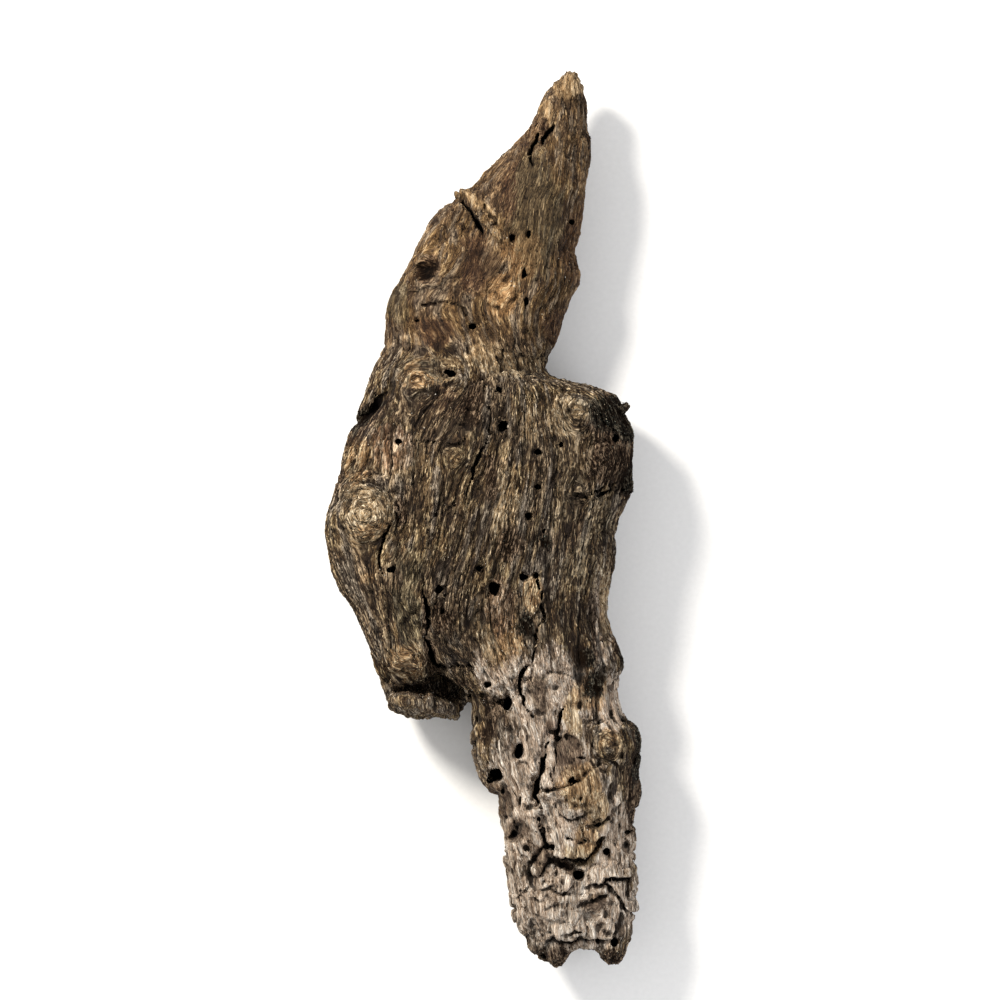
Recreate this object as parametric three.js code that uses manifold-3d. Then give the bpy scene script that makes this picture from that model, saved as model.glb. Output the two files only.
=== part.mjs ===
// A piece of driftwood, 224 mm long, lying on its back: one solid lump of wood.
// Millimetres, +Z up, +Y towards the pointed end, origin on the resting plane at the middle of its footprint.
// The trunk is a loft of rings along Y. A broken side stub is a second loft, joined to it.
// Hollows, splits and beetle holes are then cut out of the joined wood.
import * as THREE from "three";
import { mergeVertices } from "three/addons/utils/BufferGeometryUtils.js";
import Module from "manifold-3d";

const wasm = await Module();
wasm.setup();

// Driving dimensions
const LENGTH = 224;
const HALF_LENGTH = LENGTH / 2;
const TRUNK_SIDES = { front: 23, back: 13 };
const STUB_SIDES = { front: 15, back: 9 };
const RING_GAP = { least: 1.7, most: 3 };
const LEAST_HALF_WIDTH = 0.15;
const SQUARENESS = 2.3; // 2 makes round sections, more makes them boxier
const END_FADE = 6; // length before each end over which the relief dies away
const FORM_FADE = 0.7; // how slowly swellings die away towards the sides
const BEETLE_HOLE = { depth: 5, length: 20, taper: 0.8, lean: 0.2, sides: 6 };
const HOLLOW_SIDES = { around: 12, high: 8 };
const SPLIT_HEADROOM = 14;
const ROOM_ABOVE_TABLE = { wide: 200, long: 400, high: 100 };

// Weathered ridges: their heights, and the width and length of the broad and fine ones.
const RIDGE_HEIGHT = { trunk: 2.2, stub: 1.8 };
const RIDGES = {
  broad: { width: 4.2, length: 26, share: 0.7 },
  fine: { width: 2.1, length: 13, share: 0.3 },
  drift: { width: 22, length: 30, most: 3 },
  girthStretch: 1.6,
  turnOver: 7,
  heightDrift: 40,
};

// The trunk's left and right edges seen from above, as [y, x], from the pointed end to the foot.
const TRUNK_LEFT = [
  [112, 21.4], [110.8, 19.9], [108.8, 18.1], [105.8, 15.4], [99.8, 12.9], [96.8, 11.4], [93.8, 8.4],
  [87.8, 2.1], [84.8, -0.9], [82, -3.1], [81.5, -6], [78.8, -7.4], [78, -9.6], [75.5, -12.4],
  [68.2, -16.1], [63, -18.6], [55.2, -23.1], [52.5, -24.2], [46.8, -23.9], [42, -24.5], [35.2, -27.4],
  [26.2, -31.1], [20.5, -33.9], [9, -35.9], [3, -38.1], [-0.8, -39.4], [-6, -39], [-11, -37.8],
  [-17, -36.1], [-21.2, -32.9], [-27, -26], [-33, -18], [-39, -9.5], [-43.5, -4.2], [-46.8, -1.9],
  [-52.1, -2.6], [-56, -3], [-60, -2.4], [-65, -0.4], [-68.5, 1.4], [-69.5, 3.4], [-74.2, 3.5],
  [-77.8, 5.1], [-84, 5.3], [-90, 6.6], [-99.9, 7.4], [-103, 9.5], [-106.2, 11.4], [-110, 13.6],
  [-111.5, 16.5], [-112, 18.6],
];
const TRUNK_RIGHT = [
  [112, 21.8], [110.6, 23.6], [108.5, 24.9], [104.5, 25.6], [95.8, 26], [94, 27.1], [86.6, 26.1],
  [78.2, 24.9], [70, 23.5], [67.5, 22.4], [64.6, 22.6], [61, 24.5], [59.2, 24.1], [55.1, 21.6],
  [49.5, 19.9], [44.6, 18.6], [39.8, 15.6], [37.2, 14.9], [34.9, 16.8], [33.8, 22.9], [32.8, 27.1],
  [31.5, 32.5], [28.4, 35], [24.8, 36.1], [20.5, 37.4], [12, 36.5], [8.1, 37.4], [4.8, 35.9],
  [0, 33.1], [-6.2, 32.7], [-11.5, 32.9], [-16.5, 31.6], [-25, 31], [-32.6, 34.2], [-37, 35.4],
  [-39.7, 33.6], [-44, 33.7], [-48.3, 34.4], [-50, 35.4], [-51.2, 38.2], [-57.4, 39.4], [-64.5, 38.8],
  [-67.9, 39.8], [-71.1, 38.8], [-73.9, 37.6], [-81.2, 38.1], [-91.8, 38.8], [-98.1, 38.3],
  [-103.8, 37.4], [-108.2, 35.9], [-110.8, 34.6], [-112, 32],
];
// Heights of the trunk's front, its widest line and its back above the table, as [y, z].
const TRUNK_FRONT = [
  [112, 18.5], [109, 21.5], [103, 24], [92, 27.5], [80, 30], [65, 31.5], [47, 31.5], [39, 31.5],
  [35.5, 34], [32, 37], [22, 40.5], [5, 42], [-15, 41.5], [-33, 38.5], [-45, 35.5], [-60, 34],
  [-75, 32.5], [-90, 31.5], [-103, 28.5], [-109, 24.5], [-112, 18.5],
];
const TRUNK_WIDEST = [
  [112, 16], [92, 17], [60, 16.5], [40, 17], [30, 22], [10, 21], [-20, 19], [-50, 17.5], [-80, 17],
  [-112, 15],
];
const TRUNK_BACK = [
  [112, 13.5], [109, 11], [103, 9], [92, 7.5], [78, 6], [60, 4.5], [40, 3], [25, 1], [10, -0.8],
  [-10, -1.4], [-30, -0.8], [-45, 1], [-60, 2.4], [-80, 3.2], [-95, 4.4], [-105, 6.5], [-110, 9.5],
  [-112, 12],
];
// The broken stub at the lower left, which leaves the trunk at its left bulge.
const STUB_LEFT = [
  [-2, -28], [-8, -34], [-17, -34.6], [-21.2, -32.8], [-27.2, -29.9], [-33.2, -27.5], [-40, -25.9],
  [-45, -24.4], [-48, -22.6], [-49.8, -20.4],
];
const STUB_RIGHT = [
  [-2, -24], [-8, -14], [-20, -9.5], [-38, -6.5], [-43.6, -3.9], [-45.2, -4.9], [-47.3, -5.5], [-49.8, -6.2],
];
const STUB_FRONT = [[-2, 27], [-8, 33], [-20, 35.5], [-32, 34.5], [-41, 32.5], [-47, 29], [-49.8, 23]];
const STUB_WIDEST = [[-2, 20], [-20, 17], [-49.8, 15]];
const STUB_BACK = [[-2, 12], [-8, 6], [-20, 3], [-35, 2.4], [-45, 4], [-49.8, 8]];

// Swellings and dips of the front: [x, y, half width, half length, height]
const FRONT_FORMS = [
  [-29, 4, 8, 7, 3.2], // pale knot on the left bulge
  [-27, 13, 9, 3, -1.8], // crease above it
  [-20, -6, 3.5, 8, -1.6], // trough right of it
  [24, 26, 7, 7, 3], // ringed knot of the right shoulder
  [30, 16, 6, 6, 2.6], // swelling of the right flank
  [29, 6.5, 7, 2.6, -3.4], // crease across the right flank
  [28, -3, 6, 6, 2], // swelling under that crease
  [2, 4, 12, 22, 1.2], // low crown of the trunk
  [-14, 28, 5, 9, -1.6], // trough beside the upper knot
  [-26, 29, 3, 8, -2.2], // dark scar on the upper left edge
  [-17, 36, 5, 4, 2.4], // ochre knot at the neck
  [3, 36, 10, 2.5, -1.2], // step behind the shoulder
  [-13, 60, 8, 9, 2.2], // lobe of the blade
  [-4, 73, 3, 7, -2.6], // groove between the lobe and the blade
  [17, 78, 5, 22, 1.8], // rib of the blade
  [9, 50, 6, 5, 1.6], // swelling above the neck
  [-14.5, 62, 3, 3, -2.4], // knot hollow in the lobe
  [-7, 42, 8, 3, -1.4], // dip at the neck
  [30, -56, 5, 5, 3], // pale knot beside the dark edge
  [20, -67, 8, 6, 2.6], // thick flake of the stem
  [5, -72, 4, 6, -3], // hollow left of the flake
  [12, -86, 5, 5, -2.4], // dip in the eroded foot
  [24, -85, 4, 4, -2.6], // second dip
  [18, -97, 9, 4, 1.4], // swelling of the foot
  [9, -52, 4, 9, -1.4], // channel of the stem
];
const BACK_FORMS = [
  [15, -9, 9, 17, 1.6], // low swell that carries the weight
  [-10, 60, 9, 16, -2.5],
  [14, 88, 4, 14, -1.5],
  [27, 12, 5, 14, 2.5],
  [-28, 0, 6, 14, 2],
  [24, -42, 6, 12, 2.2],
  [18, -78, 5, 20, -2.4],
  [30, -90, 4, 12, 1.2],
];

// Beetle holes in the front, as [x, y, radius].
const BEETLE_HOLES = [
  [4.6, 23, 1.1], [13.6, 16.8, 1], [13.4, 7.4, 1.1], [10.9, 1, 1.1], [10.6, -13.5, 1.1], [-1.1, -12.3, 1],
  [-21.4, 19.4, 1], [-10.1, -17.8, 1], [-9.6, -22.2, 1.1], [2, -17.7, 1.2], [-11.2, 35.8, 1.3],
  [7.4, 70.8, 1], [11.4, 71.7, 1], [10.9, 54.7, 1.1], [-2.7, 48, 1.1], [30.5, 20.5, 1], [3.2, 32, 1.1],
  [-19, -14.2, 1.2], [19.3, 18.6, 0.9],
];
// Long splits in the front: a line of [x, y, half width] and how deep it goes below the front there.
const SPLITS = [
  {
    depth: 6, // between the stub and the trunk
    line: [
      [-14.5, -13, 0.2], [-14.5, -22, 0.7], [-14.2, -28, 0.9],
      [-14.5, -31, 1.6], [-11.5, -36, 1.2], [-8, -38.5, 0.3],
    ],
  },
  { depth: 3, line: [[0.8, 30, 0.2], [2, 22, 0.5], [0, 12, 0.6], [-3, 3, 0.2]] },
  { depth: 4, line: [[14, -24, 0.2], [13, -33, 0.8], [10.4, -37, 1], [9.6, -43, 0.9], [11, -50, 0.3]] },
  { depth: 4, line: [[20, -46, 0.2], [18.2, -53, 1], [15, -60, 0.9], [13, -67, 1.2], [10.5, -72, 0.4]] },
  { depth: 3.5, line: [[30, -64, 0.2], [24, -68, 0.9], [17, -71, 0.9], [11, -70, 0.3]] },
  { depth: 3.5, line: [[17, -76, 0.2], [21, -79, 1], [27, -76, 0.8], [33, -72, 0.2]] },
  { depth: 3.5, line: [[5, -82, 0.2], [10, -81, 1.1], [15, -87, 1.3], [21, -86, 0.9], [29, -87, 0.3]] },
];
// Rotted hollows, as ellipsoids: centre, half sizes, and the turn about Z in degrees.
const HOLLOWS = [
  { at: [-14, -44, 23], half: [10.5, 3.4, 11], turn: -4 }, // across the broken end of the stub
  { at: [-9, -41.5, 17], half: [5.2, 4.6, 8], turn: 10 }, // deep round pit at its right
  { at: [-24.6, -3.4, 36], half: [1.2, 2.6, 8], turn: 12 },
  { at: [8.7, -57.3, 32], half: [1.4, 2.2, 9], turn: 4 }, // oval hole of the stem
  { at: [2.8, -64, 27], half: [2.2, 2, 9], turn: 20 },
  { at: [6, -46.5, 32], half: [1.6, 2.2, 7], turn: 0 },
  { at: [-3.6, 74.4, 28], half: [1.1, 4.2, 6.5], turn: 38 }, // gap beside the lobe
  { at: [14, 93.2, 26], half: [1.1, 3.4, 6], turn: -30 },
  { at: [-14, 62.5, 31], half: [2.4, 2.6, 4], turn: 0 },
  { at: [-27, 29.5, 31], half: [1.6, 7, 5], turn: -36 }, // old scar on the upper left edge
  { at: [25.5, -80.5, 31], half: [2.2, 1.4, 5], turn: 10 },
];
// The rounded bay between the two toes of the foot.
const FOOT_NOTCH = { at: [25.8, -115.2, 16], half: [7.4, 7.9], high: 60, sides: 20 };
// The wood above the stub's slanting break, as a leaning block.
const STUB_BREAK = { wide: 40, long: 14, high: 40, lean: 0.42, at: [-20, -48.2, 38.5] };

// Interpolates a list of [station, value] that runs from high stations to low ones.
function along(list, station) {
  for (let i = 1; i < list.length; i++) {
    const [high, before] = list[i - 1];
    const [low, after] = list[i];
    if (station >= low) {
      const share = Math.min(1, (high - station) / (high - low));
      return before + (after - before) * share;
    }
  }
  return list.at(-1)[1];
}

// Smooth repeatable noise between -1 and 1.
function scatter(i, j) {
  const wave = Math.sin(i * 127.1 + j * 311.7) * 43758.5453;
  return (wave - Math.floor(wave)) * 2 - 1;
}
function noise(u, v) {
  const [i, j] = [Math.floor(u), Math.floor(v)];
  const ease = (t) => t * t * (3 - 2 * t);
  const [a, b] = [ease(u - i), ease(v - j)];
  const low = scatter(i, j) * (1 - a) + scatter(i + 1, j) * a;
  const high = scatter(i, j + 1) * (1 - a) + scatter(i + 1, j + 1) * a;
  return low * (1 - b) + high * b;
}

// Sum of smooth swellings and dips at a place seen from above.
function formsAt(forms, x, y) {
  return forms.reduce((sum, [cx, cy, rx, ry, height]) => {
    const reach = ((x - cx) / rx) ** 2 + ((y - cy) / ry) ** 2;
    return sum + height * Math.exp(-reach);
  }, 0);
}

// Ridges that weather leaves between the grain: narrow across it and long along it.
function grainRidge(x, y, z, girth) {
  const { broad, fine, drift, turnOver, heightDrift } = RIDGES;
  const place = girth + noise(x / drift.width, y / drift.length) * drift.most;
  const broadRidge = noise(place / broad.width, y / broad.length + turnOver);
  const fineRidge = noise(place / fine.width, y / fine.length + z / heightDrift);
  return broad.share * broadRidge + fine.share * fineRidge;
}

// Places for the rings: the outlines' own corners, no closer than the least gap and no wider than the most.
function ringStations(...outlines) {
  const corners = [...new Set(outlines.flat().map(([station]) => station))].sort((a, b) => b - a);
  const last = corners.at(-1);
  const stations = [corners[0]];
  for (const corner of corners.slice(1)) {
    const gap = stations.at(-1) - corner;
    if (gap < RING_GAP.least && corner !== last) continue;
    const from = stations.at(-1);
    const steps = Math.ceil(gap / RING_GAP.most);
    for (let i = 1; i <= steps; i++) stations.push(from - (gap * i) / steps);
  }
  return stations;
}

const signedPower = (value, power) => Math.sign(value) * Math.abs(value) ** power;

// A closed body from rings along Y, its ends closed by a fan to a middle point.
function loft({ left, right, front, widest, back, sides, ridge }) {
  const stations = ringStations(left, right);
  const around = sides.front + sides.back;
  const positions = [];
  for (const y of stations) {
    const [low, high] = [along(left, y), along(right, y)];
    const half = Math.max(LEAST_HALF_WIDTH, (high - low) / 2);
    const middle = (high + low) / 2;
    const wide = along(widest, y);
    const endFade = Math.min(1, (HALF_LENGTH - Math.abs(y)) / END_FADE);
    for (let k = 0; k < around; k++) {
      const isFront = k < sides.front;
      const angle = isFront ? (Math.PI * k) / sides.front : Math.PI * (1 + (k - sides.front) / sides.back);
      const rise = isFront ? along(front, y) - wide : wide - along(back, y);
      const across = signedPower(Math.cos(angle), 2 / SQUARENESS);
      const up = signedPower(Math.sin(angle), 2 / SQUARENESS);
      const x = middle + half * across;
      const facing = Math.abs(Math.sin(angle));
      const girth = (angle / Math.PI) * (half + rise) * RIDGES.girthStretch;
      const relief = ridge * grainRidge(x, y, wide, girth) * facing * endFade;
      const forms = formsAt(isFront ? FRONT_FORMS : BACK_FORMS, x, y) * facing ** FORM_FADE * endFade;
      const lift = (rise * Math.abs(up) + relief + forms) * (isFront ? 1 : -1);
      positions.push(x, y, wide + lift);
    }
  }
  const ends = [0, stations.length - 1].map((ring) => {
    const centre = new THREE.Vector3();
    for (let k = 0; k < around; k++) {
      centre.add(new THREE.Vector3().fromArray(positions, (ring * around + k) * 3));
    }
    return centre.divideScalar(around);
  });
  const tip = positions.length / 3;
  positions.push(...ends[0].toArray(), ...ends[1].toArray());
  const faces = [];
  for (let k = 0; k < around; k++) {
    const next = (k + 1) % around;
    faces.push(tip, next, k);
    const bottom = (stations.length - 1) * around;
    faces.push(tip + 1, bottom + k, bottom + next);
    for (let ring = 0; ring + 1 < stations.length; ring++) {
      const [upper, lower] = [ring * around, (ring + 1) * around];
      faces.push(upper + k, upper + next, lower + next, upper + k, lower + next, lower + k);
    }
  }
  const geometry = new THREE.BufferGeometry();
  geometry.setAttribute("position", new THREE.Float32BufferAttribute(positions, 3));
  geometry.setIndex(faces);
  return geometry;
}

// A closed geometry as a solid that can be joined and cut.
function solidOf(geometry) {
  const bare = geometry.clone();
  bare.deleteAttribute("normal");
  bare.deleteAttribute("uv");
  const merged = mergeVertices(bare, 1e-4);
  return new wasm.Manifold(
    new wasm.Mesh({
      numProp: 3,
      vertProperties: new Float32Array(merged.attributes.position.array),
      triVerts: new Uint32Array(merged.index.array),
    }),
  );
}

function geometryOf(solid) {
  const mesh = solid.getMesh();
  const positions = new Float32Array(mesh.numVert * 3);
  for (let i = 0; i < mesh.numVert; i++) {
    positions.set(mesh.vertProperties.subarray(i * mesh.numProp, i * mesh.numProp + 3), i * 3);
  }
  const geometry = new THREE.BufferGeometry();
  geometry.setAttribute("position", new THREE.BufferAttribute(positions, 3));
  geometry.setIndex(new THREE.BufferAttribute(new Uint32Array(mesh.triVerts), 1));
  return geometry;
}

const frontHeight = (x, y) => along(TRUNK_FRONT, y) + formsAt(FRONT_FORMS, x, y);

// A slightly leaning drill hole into the front.
function beetleHole([x, y, radius], index) {
  const { depth, length, taper, lean, sides } = BEETLE_HOLE;
  const drill = new THREE.CylinderGeometry(radius, radius * taper, length, sides);
  drill.rotateX(Math.PI / 2 + lean * scatter(index, 3));
  drill.rotateY(lean * scatter(index, 5));
  drill.translate(x, y, frontHeight(x, y) + depth);
  return solidOf(drill);
}

// A split is a lens-shaped outline round a line, sunk straight down into the front.
function split({ depth, line }) {
  const points = line.map(([x, y]) => new THREE.Vector2(x, y));
  const edge = (side) =>
    points.map((point, i) => {
      const [before, after] = [points[Math.max(i - 1, 0)], points[Math.min(i + 1, points.length - 1)]];
      const way = after.clone().sub(before).normalize();
      return new THREE.Vector2(-way.y, way.x).multiplyScalar(side * line[i][2]).add(point);
    });
  const outline = new THREE.Shape([...edge(1), ...edge(-1).reverse()]);
  const { x, y } = points[Math.floor(points.length / 2)];
  const cutter = new THREE.ExtrudeGeometry(outline, { depth: depth + SPLIT_HEADROOM, bevelEnabled: false });
  cutter.translate(0, 0, frontHeight(x, y) - depth);
  return solidOf(cutter);
}

function hollow({ at, half, turn }) {
  const scoop = new THREE.SphereGeometry(1, HOLLOW_SIDES.around, HOLLOW_SIDES.high);
  scoop.rotateX(Math.PI / 2);
  scoop.scale(...half);
  scoop.rotateZ(THREE.MathUtils.degToRad(turn));
  scoop.translate(...at);
  return solidOf(scoop);
}

function footNotch() {
  const bay = new THREE.CylinderGeometry(1, 1, FOOT_NOTCH.high, FOOT_NOTCH.sides);
  bay.rotateX(Math.PI / 2);
  bay.scale(...FOOT_NOTCH.half, 1);
  bay.translate(...FOOT_NOTCH.at);
  return solidOf(bay);
}

// The stub broke off slanting: its front wall ends higher up than its back lip.
function stubBreak() {
  const block = new THREE.BoxGeometry(STUB_BREAK.wide, STUB_BREAK.long, STUB_BREAK.high);
  block.rotateX(STUB_BREAK.lean);
  block.translate(...STUB_BREAK.at);
  return solidOf(block);
}

function aboveTable() {
  const room = new THREE.BoxGeometry(ROOM_ABOVE_TABLE.wide, ROOM_ABOVE_TABLE.long, ROOM_ABOVE_TABLE.high);
  room.translate(0, 0, ROOM_ABOVE_TABLE.high / 2);
  return solidOf(room);
}

const trunk = solidOf(
  loft({
    left: TRUNK_LEFT,
    right: TRUNK_RIGHT,
    front: TRUNK_FRONT,
    widest: TRUNK_WIDEST,
    back: TRUNK_BACK,
    sides: TRUNK_SIDES,
    ridge: RIDGE_HEIGHT.trunk,
  }),
);
const stub = solidOf(
  loft({
    left: STUB_LEFT,
    right: STUB_RIGHT,
    front: STUB_FRONT,
    widest: STUB_WIDEST,
    back: STUB_BACK,
    sides: STUB_SIDES,
    ridge: RIDGE_HEIGHT.stub,
  }),
).subtract(stubBreak());

let wood = trunk.add(stub).intersect(aboveTable()).subtract(footNotch());
const cuts = [...HOLLOWS.map(hollow), ...SPLITS.map(split), ...BEETLE_HOLES.map(beetleHole)];
for (const cut of cuts) wood = wood.subtract(cut);

const geometry = geometryOf(wood);
geometry.computeBoundingBox();
const { min, max } = geometry.boundingBox;
geometry.translate(-(min.x + max.x) / 2, -(min.y + max.y) / 2, -min.z);
geometry.computeVertexNormals();

const driftwood = new THREE.Mesh(
  geometry,
  new THREE.MeshStandardMaterial({ color: 0x6b5a46, roughness: 0.9, metalness: 0 }),
);
driftwood.name = "driftwood";

const part = new THREE.Group();
part.add(driftwood);

export default part;
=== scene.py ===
import itertools
import math

import bmesh
import bpy
import numpy as np
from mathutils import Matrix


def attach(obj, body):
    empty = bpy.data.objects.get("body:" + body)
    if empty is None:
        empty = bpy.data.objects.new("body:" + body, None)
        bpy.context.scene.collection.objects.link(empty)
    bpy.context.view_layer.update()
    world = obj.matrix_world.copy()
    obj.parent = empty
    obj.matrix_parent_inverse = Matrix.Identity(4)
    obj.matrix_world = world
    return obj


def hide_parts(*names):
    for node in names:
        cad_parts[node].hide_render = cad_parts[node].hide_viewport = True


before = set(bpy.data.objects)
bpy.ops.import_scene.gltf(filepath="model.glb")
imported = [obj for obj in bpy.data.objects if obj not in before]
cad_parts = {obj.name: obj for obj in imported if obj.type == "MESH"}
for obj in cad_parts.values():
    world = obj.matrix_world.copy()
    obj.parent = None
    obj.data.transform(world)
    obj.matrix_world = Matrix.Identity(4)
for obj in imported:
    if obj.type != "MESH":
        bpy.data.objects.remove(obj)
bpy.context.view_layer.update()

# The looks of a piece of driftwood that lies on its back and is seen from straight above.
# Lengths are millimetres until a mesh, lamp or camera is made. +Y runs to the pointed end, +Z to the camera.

import openvdb

MM = 0.001

# Camera: the side of the square that it sees at the height of the wood's widest line
VIEW_SIDE = 250.0
VIEW_CENTRE = (4.05, 4.75)
WIDEST_HEIGHT = 20.0
LENS = 500.0
SENSOR = 36.0

# The sheet of paper under the wood
FLOOR_SIDE = 6000.0
PAPER_FIBRE = 1.11

# The voxels that the wood is carved in
VOXEL = 0.36
MARGIN = 3.0  # empty room round the wood
REACH = 7.0  # how far from the surface distances are kept
FACET_BLUR = 1.15  # smooths the facets of the solid away
BLUR_LOSS = 0.26  # how much that blur would thin the wood
END_SHARPNESS = 0.75  # how much of the solid's own shape the two ends keep
MOST_TRIANGLES = 194000

# Where one kind of surface turns into the next: heights for the front, places along Y for the blade and
# the trunk, and distances towards the foot for the stem and its rot, or towards either end.
FRONT_OF_RELIEF = (11, 19)
FRONT_OF_GRAIN = (12, 20)
FRONT_OF_STAINS = (9, 17)
BACK_TO_FRONT = (10, 19)
BLADE_START = (36, 46)
TRUNK_START = (-44, -36)
CURL_START = (38, 50)
STEM_START = (30, 44)
ROT_START = (62, 78)
BACK_ROT_START = (70, 90)
SHARP_END = (104, 111)
LAST_RELIEF = (107, 112)

# Grain runs along these lines, given as (across, [(y, x), ...]) from the pointed end to the foot.
GRAIN_GUIDES = [
    (-38, [
        (112, -2), (90, -10), (68, -17), (55, -24), (42, -23), (26, -31), (9, -36), (0, -39), (-11, -38),
        (-21, -33.5), (-33, -27.5), (-45, -24.5), (-112, -20),
    ]),
    (-12, [
        (112, 12), (90, 8), (68, 3), (50, -3), (44, 0), (38, 4), (33, 3.4), (27, 2.2), (17, -0.4),
        (5, -3.8), (-10, -7), (-17, -9.5), (-28, -10.5), (-36, -8.5), (-44, -4.5), (-60, -2.4), (-84, 5),
        (-112, 10),
    ]),
    (35, [
        (112, 26), (95, 27), (78, 25), (55, 22), (45, 20), (38, 22), (31, 30), (24, 34), (12, 36.5),
        (0, 34), (-16, 32), (-32, 34), (-50, 36), (-64, 39), (-112, 38),
    ]),
]

# Knots that the grain bends round: place, radius, and how clear the rings inside are (0 is crumbly wood).
KNOTS = {
    "pale knot of the left bulge": (-29.6, 2.0, 6.0, 0.5),
    "ringed knot of the shoulder": (22.6, 26.5, 4.6, 0.9),
    "small knot of the trunk": (-7.5, 16.3, 2.2, 0.35),
    "ochre knot of the neck": (-16.4, 35.2, 4.5, 0.35),
    "dark knot of the lobe": (-13.9, 61.6, 3.2, 0.3),
    "swirl of the blade": (4.0, 57.0, 3.4, 0.2),
    "brown knot of the stem": (30.9, -57.0, 3.6, 0.8),
    "bulge of the right flank": (29.4, 16.5, 3.0, 0.4),
    "swirl of the crease": (23.4, 6.6, 2.4, 0.3),
    "rough spot of the neck": (-8.4, 37.0, 2.4, 0.0),
    "knot of the stub": (-19.6, -36.0, 3.2, 0.0),
    "knot of the foot": (28.0, -98.0, 3.0, 0.1),
}

# Splits: depth, and the line as (x, y, half width).
SPLITS = {
    "stub from trunk": (6, [
        (-14.8, -12, 0.12), (-14.8, -17.5, 0.22), (-14.1, -20.4, 0.3), (-13.9, -26.8, 0.26),
        (-14.8, -29, 0.4), (-13.2, -32.6, 0.6), (-11, -37, 0.4), (-9.8, -36.9, 0.22), (-6, -36.4, 0.22),
        (-2.8, -37, 0.18),
    ]),
    "trunk to stem": (3.4, [
        (12.9, -14.8, 0.12), (14.1, -18.8, 0.16), (14.4, -25, 0.2), (13.4, -27, 0.16), (12.9, -31, 0.22),
        (11.9, -35.2, 0.3), (10.4, -37.4, 0.34), (9.1, -38.4, 0.25), (8.9, -42.5, 0.22),
        (9.6, -45.5, 0.16), (12.1, -49.5, 0.12),
    ]),
    "long one of the trunk": (2.4, [
        (-0.2, 35, 0.16), (-0.2, 29.5, 0.25), (1.7, 27.5, 0.22), (1.6, 23.4, 0.22), (1.3, 20.6, 0.2),
        (-0.2, 18.1, 0.3), (-1.2, 15.5, 0.45), (-2.3, 12.8, 0.36), (-3, 9.7, 0.26), (-4.1, 6.8, 0.26),
        (-4.8, 4, 0.15),
    ]),
    "across the trunk": (1, [
        (-18.6, 19.5, 0.15), (-10.9, 19.1, 0.22), (-9.6, 18.1, 0.2), (-6.4, 18.8, 0.2),
        (-4.1, 20.9, 0.15),
    ]),
    "across the trunk, lower": (1, [(-14.4, -0.3, 0.15), (-9.8, 1.5, 0.2), (-6.9, 4, 0.15)]),
    "across the left bulge": (1, [(-20.2, 8.2, 0.15), (-16.1, 8.5, 0.2)]),
    "slot of the left bulge": (2.6, [
        (-24.2, -2.4, 0.3), (-24.9, -4.5, 0.35), (-25.8, -9.4, 0.4), (-25.3, -13.8, 0.15),
    ]),
    "stem": (5.5, [
        (20, -46.3, 0.12), (18.7, -50.3, 0.28), (18.2, -52.6, 0.3), (17.8, -54.2, 0.16),
        (16.2, -56.6, 0.16), (15.9, -58.8, 0.12), (14.9, -60.6, 0.5), (14.6, -62.6, 0.6),
        (13.9, -64.6, 0.26), (13.1, -66.8, 0.75), (12.6, -68.6, 0.5), (14.2, -71, 0.22),
        (14.5, -73.4, 0.24), (13.7, -75.3, 0.14),
    ]),
    "stem, across": (1.6, [
        (14.2, -67.0, 0.3), (17.4, -67.4, 0.16), (20.6, -66.8, 0.3), (22.4, -65.6, 0.12),
    ]),
    "plate inside the stem": (1.4, [
        (17.6, -57.5, 0.12), (18.1, -60.6, 0.22), (17.4, -63.4, 0.18), (17.8, -66, 0.1),
    ]),
    "crease of the flank": (1.8, [
        (22.9, 6.4, 0.15), (25.8, 5.4, 0.36), (28.4, 7.4, 0.3), (30.8, 9.2, 0.12),
    ]),
    "crease of the flank, lower": (1.8, [
        (28.0, 5.8, 0.15), (29.8, 6.6, 0.45), (31.6, 6.9, 0.3), (33.4, 8.3, 0.12),
    ]),
    "short slit of the foot": (1.2, [(18.9, -100.3, 0.14), (20.8, -99.9, 0.26)]),
    "second slit of the band": (1, [(19.6, -103.9, 0.12), (22.4, -103.2, 0.26), (24.4, -103.6, 0.12)]),
    "stem, lower": (3, [(13.9, -75.5, 0.15), (15, -78, 0.2), (15.5, -80.2, 0.4), (16.9, -82.4, 0.7)]),
    "plate of the stem": (0.8, [(15.9, -37.8, 0.2), (19.4, -38.2, 0.25), (22.6, -39.8, 0.2)]),
    "tip, right arm": (2.6, [(17.4, 98.4, 0.25), (16.1, 96.2, 0.5), (15.1, 94.2, 0.35)]),
    "tip, left arm": (3, [(13.6, 96.5, 0.3), (12.6, 93.6, 0.6), (12.2, 91, 0.6), (12.4, 88, 0.3)]),
    "beside the lobe": (3.4, [(-5.4, 79.2, 0.14), (-2.6, 76, 0.5), (-0.6, 72.6, 0.8), (0.4, 71, 0.2)]),
    "in the fibre band": (1.6, [(0.1, 78.8, 0.3), (1.4, 76.5, 0.45), (3.4, 73, 0.3)]),
    "fold of the lobe": (1.2, [
        (-15.6, 52.9, 0.25), (-9.9, 54.4, 0.4), (-5.4, 52.5, 0.35), (-4.6, 50.6, 0.2),
    ]),
    "slit of the foot": (4, [(13.2, -108.8, 0.3), (16.1, -109.2, 0.6), (18.8, -109.6, 0.25)]),
    "furrow of the foot": (1.5, [
        (16.9, -85.1, 0.7), (19.6, -86.4, 1.1), (22.2, -87.9, 1.1), (24.4, -88.9, 0.6),
    ]),
    "check of the left bulge": (1.2, [(-22.5, 4, 0.2), (-21.5, 0, 0.35), (-22.5, -4, 0.25)]),
}

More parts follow.
